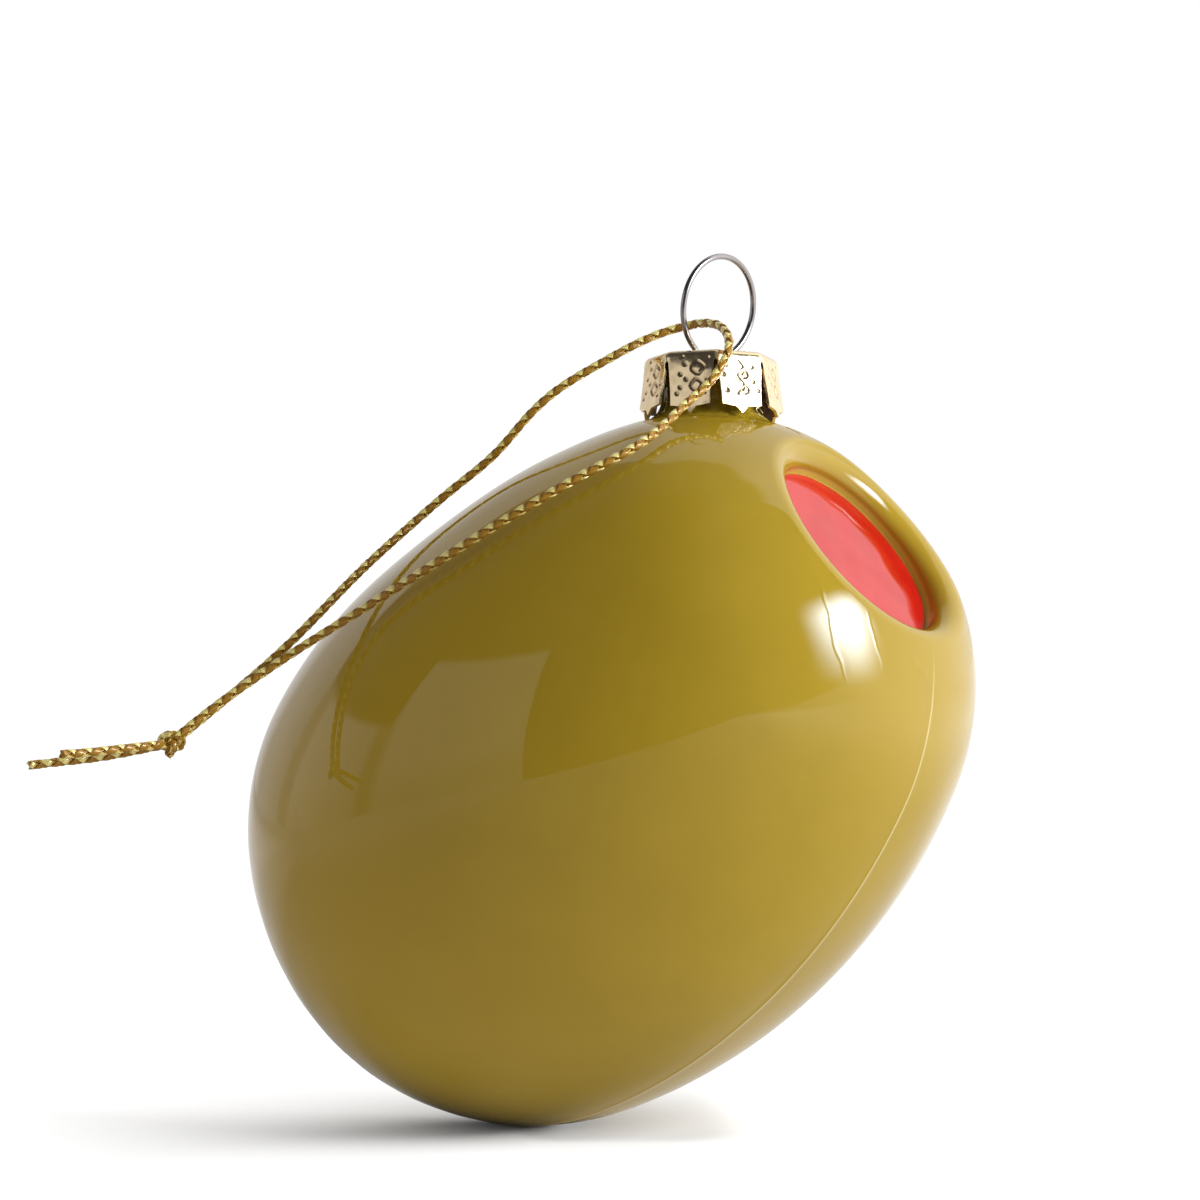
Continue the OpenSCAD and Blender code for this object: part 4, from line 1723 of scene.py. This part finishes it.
@dataclass(frozen=True)
class Table:
    """How the table top looks from each side; x runs to the right and y away from the camera."""

    paper: tuple[Colour, Colour] = ((0.24, 0.24, 0.24, 1.0), (0.26, 0.26, 0.26, 1.0))
    tone: Colour = (1.0, 0.985, 0.97, 1.0)
    right: Band = Band(-0.03, 0.22, 0.0, 1.1)
    right_depth: Band = Band(0.1, 0.6, 1.0, 0.75)
    back: Band = Band(0.0, 0.12, 0.0, 0.4)
    back_side: Band = Band(-0.02, 0.05)
    behind: Band = Band(-0.016, 0.0)
    beside: Band = Band(-0.02, 0.004, 0.0, 0.36)
    left: Band = Band(-0.35, -0.08, 0.57, 0.35)
    far: Band = Band(0.03, 0.08, 0.35, 0.62)
    farther: Band = Band(0.08, 0.2, 0.0, 0.25)
    far_side: Band = Band(-0.5, -0.15, 0.64, 1.0)
    bounce: float = 0.72
    sunny: Band = Band(-0.026, -0.01)
    sunny_end: Band = Band(0.0, 0.06, 0.9, 0.0)
    open_side: Band = Band(-0.026, -0.01, 0.0, 0.9)
    open_gap: Band = Band(0.03, 0.1)
    hidden: Band = Band(0.0, 0.5, 0.02, 1.0)
    cast: Band = Band(-0.07, -0.035, 0.0, 0.55)
    cast_end: Band = Band(-0.03, -0.02, 1.0, 0.0)
    cast_near: Band = Band(-0.02, -0.008)
    cast_far: Band = Band(0.0, 0.01, 1.0, 0.0)
    sky: float = 0.7
    wedge: Band = Band(-0.022, -0.0155)
    wedge_end: Band = Band(-0.006, 0.004, 1.0, 0.0)
    wedge_near: Band = Band(-0.014, -0.004)
    depth: Band = Band(0.0, 1.0, 0.9, 3.0)
    hiding: float = 0.5
    centring: Triple = (0.03, 0.0, 0.0)
    fade: Band = Band(0.12, 0.3)

    def _mirrored(self, g: Graph, x: Socket, y: Socket) -> Socket:
        """Brightness in gloss: dim in front, bright to the right and behind.

        Args:
            g: the material's graph.
            x: places to the right.
            y: places away from the camera.
        Returns:
            The brightness.
        """
        right = g.times(self.right.on(g, x), self.right_depth.on(g, y))
        back = g.times(self.back.on(g, y), self.back_side.on(g, x))
        beside = g.times(self.behind.on(g, y), self.beside.on(g, x))
        rise = g.math("MAXIMUM", right, g.math("ADD", back, beside))
        far = g.times(g.math("ADD", self.far.on(g, y), self.farther.on(g, y)), self.far_side.on(g, x))
        return g.math("MAXIMUM", g.math("ADD", rise, self.left.on(g, x)), far)

    def _thrown(self, g: Graph, x: Socket, y: Socket) -> Socket:
        """Light thrown back on the olive, strongest behind it where the lamps reach the table."""
        sunny = g.times(self.sunny.on(g, x), self.sunny_end.on(g, x))
        return g.math("MULTIPLY_ADD", self.behind.on(g, y), sunny, self.bounce)

    def _clear(self, g: Graph, x: Socket, y: Socket, bare: Socket) -> Socket:
        """Share of that light left under the olive and in the strip of shadow beside it.

        Args:
            g: the material's graph.
            x: places to the right.
            y: places away from the camera.
            bare: share of the sky that nothing hides.
        Returns:
            The share.
        """
        lit = g.times(self.behind.on(g, y), self.open_side.on(g, x), self.open_gap.on(g, bare))
        shown = g.math("MAXIMUM", lit, self.hidden.on(g, bare))
        strip = g.times(self.cast_near.on(g, y), self.cast_far.on(g, y))
        return g.times(shown, g.rest(g.times(strip, self.cast.on(g, x), self.cast_end.on(g, x))))

    def _overhead(self, g: Graph, x: Socket, y: Socket, bare: Socket) -> Socket:
        """A wide, even sky seen by the camera, darkened where the olive hides it.

        The shadow is deepest in a wedge to the right of the point of contact.

        Args:
            g: the material's graph.
            x: places to the right.
            y: places away from the camera.
            bare: share of the sky that nothing hides.
        Returns:
            The brightness.
        """
        wedge = g.times(self.wedge.on(g, x), self.wedge_near.on(g, y), self.wedge_end.on(g, x))
        return g.times(g.math("POWER", bare, self.depth.on(g, wedge)), self.sky)

    def material(self) -> bpy.types.Material:
        """Pale paper that fades into the white behind it.

        Returns:
            The material, whose camera rays and other rays each get their own light.
        """
        material = bpy.data.materials.new("pale_floor")
        material.use_nodes = True
        material.node_tree.nodes.clear()
        g = Graph(material.node_tree)
        place = g.add("TexCoord").outputs["Object"]
        x, y, _ = g.split(place)
        path, mirrored = g.rays()
        bare = g.add("AmbientOcclusion", {"Distance": self.hiding}, samples=16).outputs["AO"]
        grain = g.span(g.noise(place, 18.0, 3.0), 0.3, 0.7)
        paper = g.add("BsdfDiffuse", {"Color": g.blend(grain, *self.paper)})
        sky = g.add("Emission", {"Color": WHITE, "Strength": self._overhead(g, x, y, bare)})
        lit = g.add("AddShader", {0: paper.outputs[0], 1: sky.outputs[0]})
        level = g.times(self._mirrored(g, x, y), mirrored)
        level = g.math("MULTIPLY_ADD", path["Is Diffuse Ray"], self._thrown(g, x, y), level)
        level = g.times(level, self._clear(g, x, y, bare))
        glow = g.add("Emission", {"Color": self.tone, "Strength": level})
        seen = path["Is Camera Ray"]
        shown = g.add("MixShader", {0: seen, 1: glow.outputs[0], 2: lit.outputs[0]})
        spot = g.add("Mapping", {"Vector": place, "Location": self.centring, "Scale": (1.0, 1.0, 0.0)})
        fade = g.times(self.fade.on(g, g.vector("LENGTH", spot.outputs[0])), seen)
        clear = g.add("BsdfTransparent")
        both = g.add("MixShader", {0: fade, 1: shown.outputs[0], 2: clear.outputs[0]})
        g.add("OutputMaterial", {"Surface": both.outputs[0]})
        return material


@dataclass
class Studio:
    """Floor, soft light and camera at the photograph's viewing angle; lengths are in metres.

    A row of walls is a heading in degrees, the height where the wall ends, its brightness and
    how much of that is left at its foot.
    """

    camera: Triple = (-0.012481, -0.698835, 0.002655)
    lens: float = 210.0
    sensor: float = 36.0
    clip: Pair = (0.01, 20.0)
    tilt: float = 3.0
    aim: Triple = (-0.012, 0.0, -0.05)
    floor_front: float = 0.33
    floor_side: float = 0.9
    floor_back: float = 1.4
    floor_parts: int = 25
    wall_lean: float = 0.2
    wall_edge: float = 0.035
    wall_foot: Band = Band(-0.02, 0.13)
    wall_tone: Colour = (1.0, 0.985, 0.975, 1.0)
    ceiling_left: Band = Band(-2.1, -1.4, 0.14, 0.05)
    ceiling_right: Band = Band(-0.2, 0.6, 0.05, 0.2)
    shade_level: float = 0.25
    left_lift: Band = Band(-1.9, -0.2, 0.6, 0.0)
    backdrop: Band = Band(0.75, 0.95, 0.0, 0.8)
    walls: tuple[tuple[float, float, float, float], ...] = (
        (-180, 0.88, 0.68, 1.0), (-150, 0.85, 0.6, 1.0), (-138, 0.45, 0.7, 1.0), (-127, 0.31, 0.66, 0.95),
        (-125, 0.3, 0.47, 0.95), (-120, 0.3, 0.47, 0.95), (-118, 0.29, 0.78, 0.85), (-108, 0.28, 0.76, 0.85),
        (-89.5, 0.26, 0.63, 0.8), (-88, 0.26, 0.27, 0.9), (-83.5, 0.26, 0.27, 0.9), (-82, 0.46, 0.66, 0.75),
        (-43, 0.47, 0.68, 0.7), (-40, -0.18, 0.42, 1.0), (10, -0.17, 0.55, 1.0), (27, -0.13, 0.65, 1.0),
        (36, -0.1, 0.75, 1.0), (55, 0.0, 1.0, 1.0), (64, 0.05, 1.2, 1.0), (70, 0.45, 1.42, 1.0),
        (96, 0.6, 1.44, 1.0), (106, 0.93, 1.45, 1.0), (140, 0.93, 1.25, 1.0), (160, 0.93, 1.0, 1.0),
        (180, 0.88, 0.68, 1.0),
    )
    key: SoftLamp = SoftLamp(63.0, 18.5, 0.8, (0.55, 0.52), 29.0)
    gleam: SoftLamp = SoftLamp(63.0, 18.5, 0.76, (0.52, 0.49), 27.0)
    key_tone: Colour = (0.92, 1.0, 1.05, 1.0)
    gleam_tone: Colour = (0.78, 0.92, 1.05, 1.0)
    key_fade: tuple[Pair, Pair] = ((0.6, 0.4), (0.8, 0.3))
    low_side: SoftLamp = SoftLamp(120.0, 3.6, 0.8, (0.76, 0.096), 88.0)
    high_side: SoftLamp = SoftLamp(57.0, 30.5, 0.8, (0.35, 0.35), 15.0)

    def build(self) -> None:
        """Sets up everything that isn't part of the object."""
        low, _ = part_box("glass_olive")
        self._camera()
        floor = self._floor(low[2])
        self._world()
        key = self._lamp("key", self.key)
        key.visible_glossy = False
        gleam = self._lamp("gleam", self.gleam)
        gleam.visible_diffuse = False
        for lamp, tone in ((key, self.key_tone), (gleam, self.gleam_tone)):
            self._soften(lamp.data, tone)
            self._reach(lamp, floor, "EXCLUDE")
        for name, lamp in (("low_side", self.low_side), ("high_side", self.high_side)):
            self._reach(self._lamp(name, lamp), floor, "INCLUDE")
        bpy.context.scene.view_settings.view_transform = "Standard"

    def _camera(self) -> None:
        """A long lens looking slightly down."""
        data = bpy.data.cameras.new("camera")
        data.lens = self.lens
        data.sensor_width = data.sensor_height = self.sensor
        data.clip_start, data.clip_end = self.clip
        camera = bpy.data.objects.new("camera", data)
        camera.location = self.camera
        camera.rotation_euler = (math.radians(90 - self.tilt), 0.0, 0.0)
        bpy.context.collection.objects.link(camera)
        bpy.context.scene.camera = camera

    def _floor(self, level: float) -> bpy.types.Object:
        """A flat table top.

        Args:
            level: height of the table, where the olive rests.
        Returns:
            The floor, which is set dressing.
        """
        side = np.linspace(-self.floor_side, self.floor_side, self.floor_parts)
        depth = np.linspace(-self.floor_front, self.floor_back, self.floor_parts)
        x, y = np.meshgrid(side, depth)
        skin = Skin()
        skin.grid(np.stack([x, y, np.full_like(x, level)], axis=-1), wrap=False)
        floor = skin.mesh("floor", place=False)
        dress(floor, Table().material())
        return floor

    def _walls(self, g: Graph, heading: Socket) -> tuple[Socket, Socket, Socket]:
        """Height, brightness and foot of the wall at a heading, kept in one colour ramp.

        Args:
            g: the world's graph.
            heading: direction in radians, 0 towards the camera.
        Returns:
            The three values.
        """
        ramp = g.add("ValToRGB", {0: g.math("MULTIPLY_ADD", heading, 0.5 / math.pi, 0.5)})
        stops = ramp.color_ramp.elements
        for k, (degrees, top, level, foot) in enumerate(self.walls):
            at = degrees / 360 + 0.5
            stop = stops[k] if k < 2 else stops.new(at)
            stop.position = at
            stop.color = (0.5 + 0.5 * top, 0.5 * level, foot, 1.0)
        top, level, foot = g.add("SeparateColor", {0: ramp.outputs[0]}).outputs
        return g.math("MULTIPLY_ADD", top, 2.0, -1.0), g.times(level, 2.0), foot

    def _world(self) -> None:
        """White behind the object; a pale band of walls under a dimmer ceiling lights it."""
        world = bpy.data.worlds.new("studio")
        world.use_nodes = True
        world.node_tree.nodes.clear()
        bpy.context.scene.world = world
        g = Graph(world.node_tree)
        x, y, z = g.split(g.add("TexCoord").outputs["Generated"])
        path, mirrored = g.rays()
        heading = g.math("ARCTAN2", x, g.times(y, -1.0))
        heading = g.math("MULTIPLY_ADD", z, self.wall_lean, heading)
        top, level, foot = self._walls(g, heading)
        below = g.fall(g.math("SUBTRACT", z, top), 0.0, self.wall_edge)
        foot = g.math("ADD", foot, g.times(self.wall_foot.on(g, z), g.rest(foot)))
        ceiling = g.math("MAXIMUM", self.ceiling_left.on(g, heading), self.ceiling_right.on(g, heading))
        ceiling = g.math("MAXIMUM", ceiling, g.times(g.rest(mirrored), self.shade_level))
        wall = g.math("SUBTRACT", g.times(foot, level), ceiling)
        room = g.math("MULTIPLY_ADD", below, wall, ceiling)
        lift = g.times(g.rest(mirrored), self.left_lift.on(g, heading))
        room = g.times(room, g.math("ADD", lift, 1.0))
        seen = path["Is Camera Ray"]
        white = g.math("MAXIMUM", seen, g.times(mirrored, below, self.backdrop.on(g, y)))
        tone = g.blend(seen, self.wall_tone, WHITE)
        light = g.add("Background", {"Color": tone, "Strength": g.math("MAXIMUM", room, white)})
        g.add("OutputWorld", {"Surface": light.outputs[0]})

    def _soften(self, data: bpy.types.AreaLight, tone: Colour) -> None:
        """Gives a lamp its tone and lets it fade towards its edges.

        Args:
            data: the lamp's light.
            tone: its colour.
        """
        data.use_nodes = True
        data.node_tree.nodes.clear()
        g = Graph(data.node_tree)
        spot = g.split(g.add("NewGeometry").outputs["Parametric"])
        fade: Any = 1.0
        for axis, (near, far) in enumerate(self.key_fade):
            fade = g.times(fade, g.span(spot[axis], 0.0, near), g.fall(spot[axis], 1.0 - far, 1.0))
        glow = g.add("Emission", {"Color": tone, "Strength": fade})
        g.add("OutputLight", {"Surface": glow.outputs[0]})

    def _lamp(self, name: str, lamp: SoftLamp) -> bpy.types.Object:
        """An area lamp facing the olive, placed by its angles from the viewer's side.

        Args:
            name: the lamp's name.
            lamp: where it stands and how strong it is.
        Returns:
            The lamp.
        """
        data = bpy.data.lights.new(name, "AREA")
        data.shape = "RECTANGLE"
        data.size, data.size_y = lamp.size
        data.energy = lamp.power
        obj = bpy.data.objects.new(name, data)
        a, e = math.radians(lamp.heading), math.radians(lamp.height)
        toward = np.array([math.sin(a) * math.cos(e), -math.cos(a) * math.cos(e), math.sin(e)])
        obj.location = np.array(self.aim) + lamp.away * toward
        obj.rotation_euler = (math.pi / 2 - e, 0.0, a)
        obj.visible_camera = False
        bpy.context.collection.objects.link(obj)
        return obj

    @staticmethod
    def _reach(lamp: bpy.types.Object, floor: bpy.types.Object, state: str) -> None:
        """Makes a lamp light only the floor, or all but the floor.

        Args:
            lamp: the lamp.
            floor: the floor.
            state: INCLUDE for only the floor, EXCLUDE for all but it.
        """
        chosen = bpy.data.collections.new(f"{lamp.name}_reach")
        chosen.objects.link(floor)
        chosen.collection_objects[0].light_linking.link_state = state
        lamp.light_linking.receiver_collection = chosen


def main() -> None:
    """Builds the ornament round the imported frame, in order, and its studio."""
    logging.basicConfig(level=logging.INFO, format="%(name)s %(message)s")
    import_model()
    groups = SurfaceGroups.make()
    Studio().build()
    GiltCord().build(groups, GiltFoil())
    olive = GlassOlive()
    olive.build(groups, OliveGlass())
    PimentoEnamel().build(olive, groups, RED_ENAMEL)
    CrownCap().build(groups, GiltSheet(), CAP_INSIDE_SHADE)
    SpringHanger().build(groups, SpringSteel())


if __name__ == "__main__":
    main()
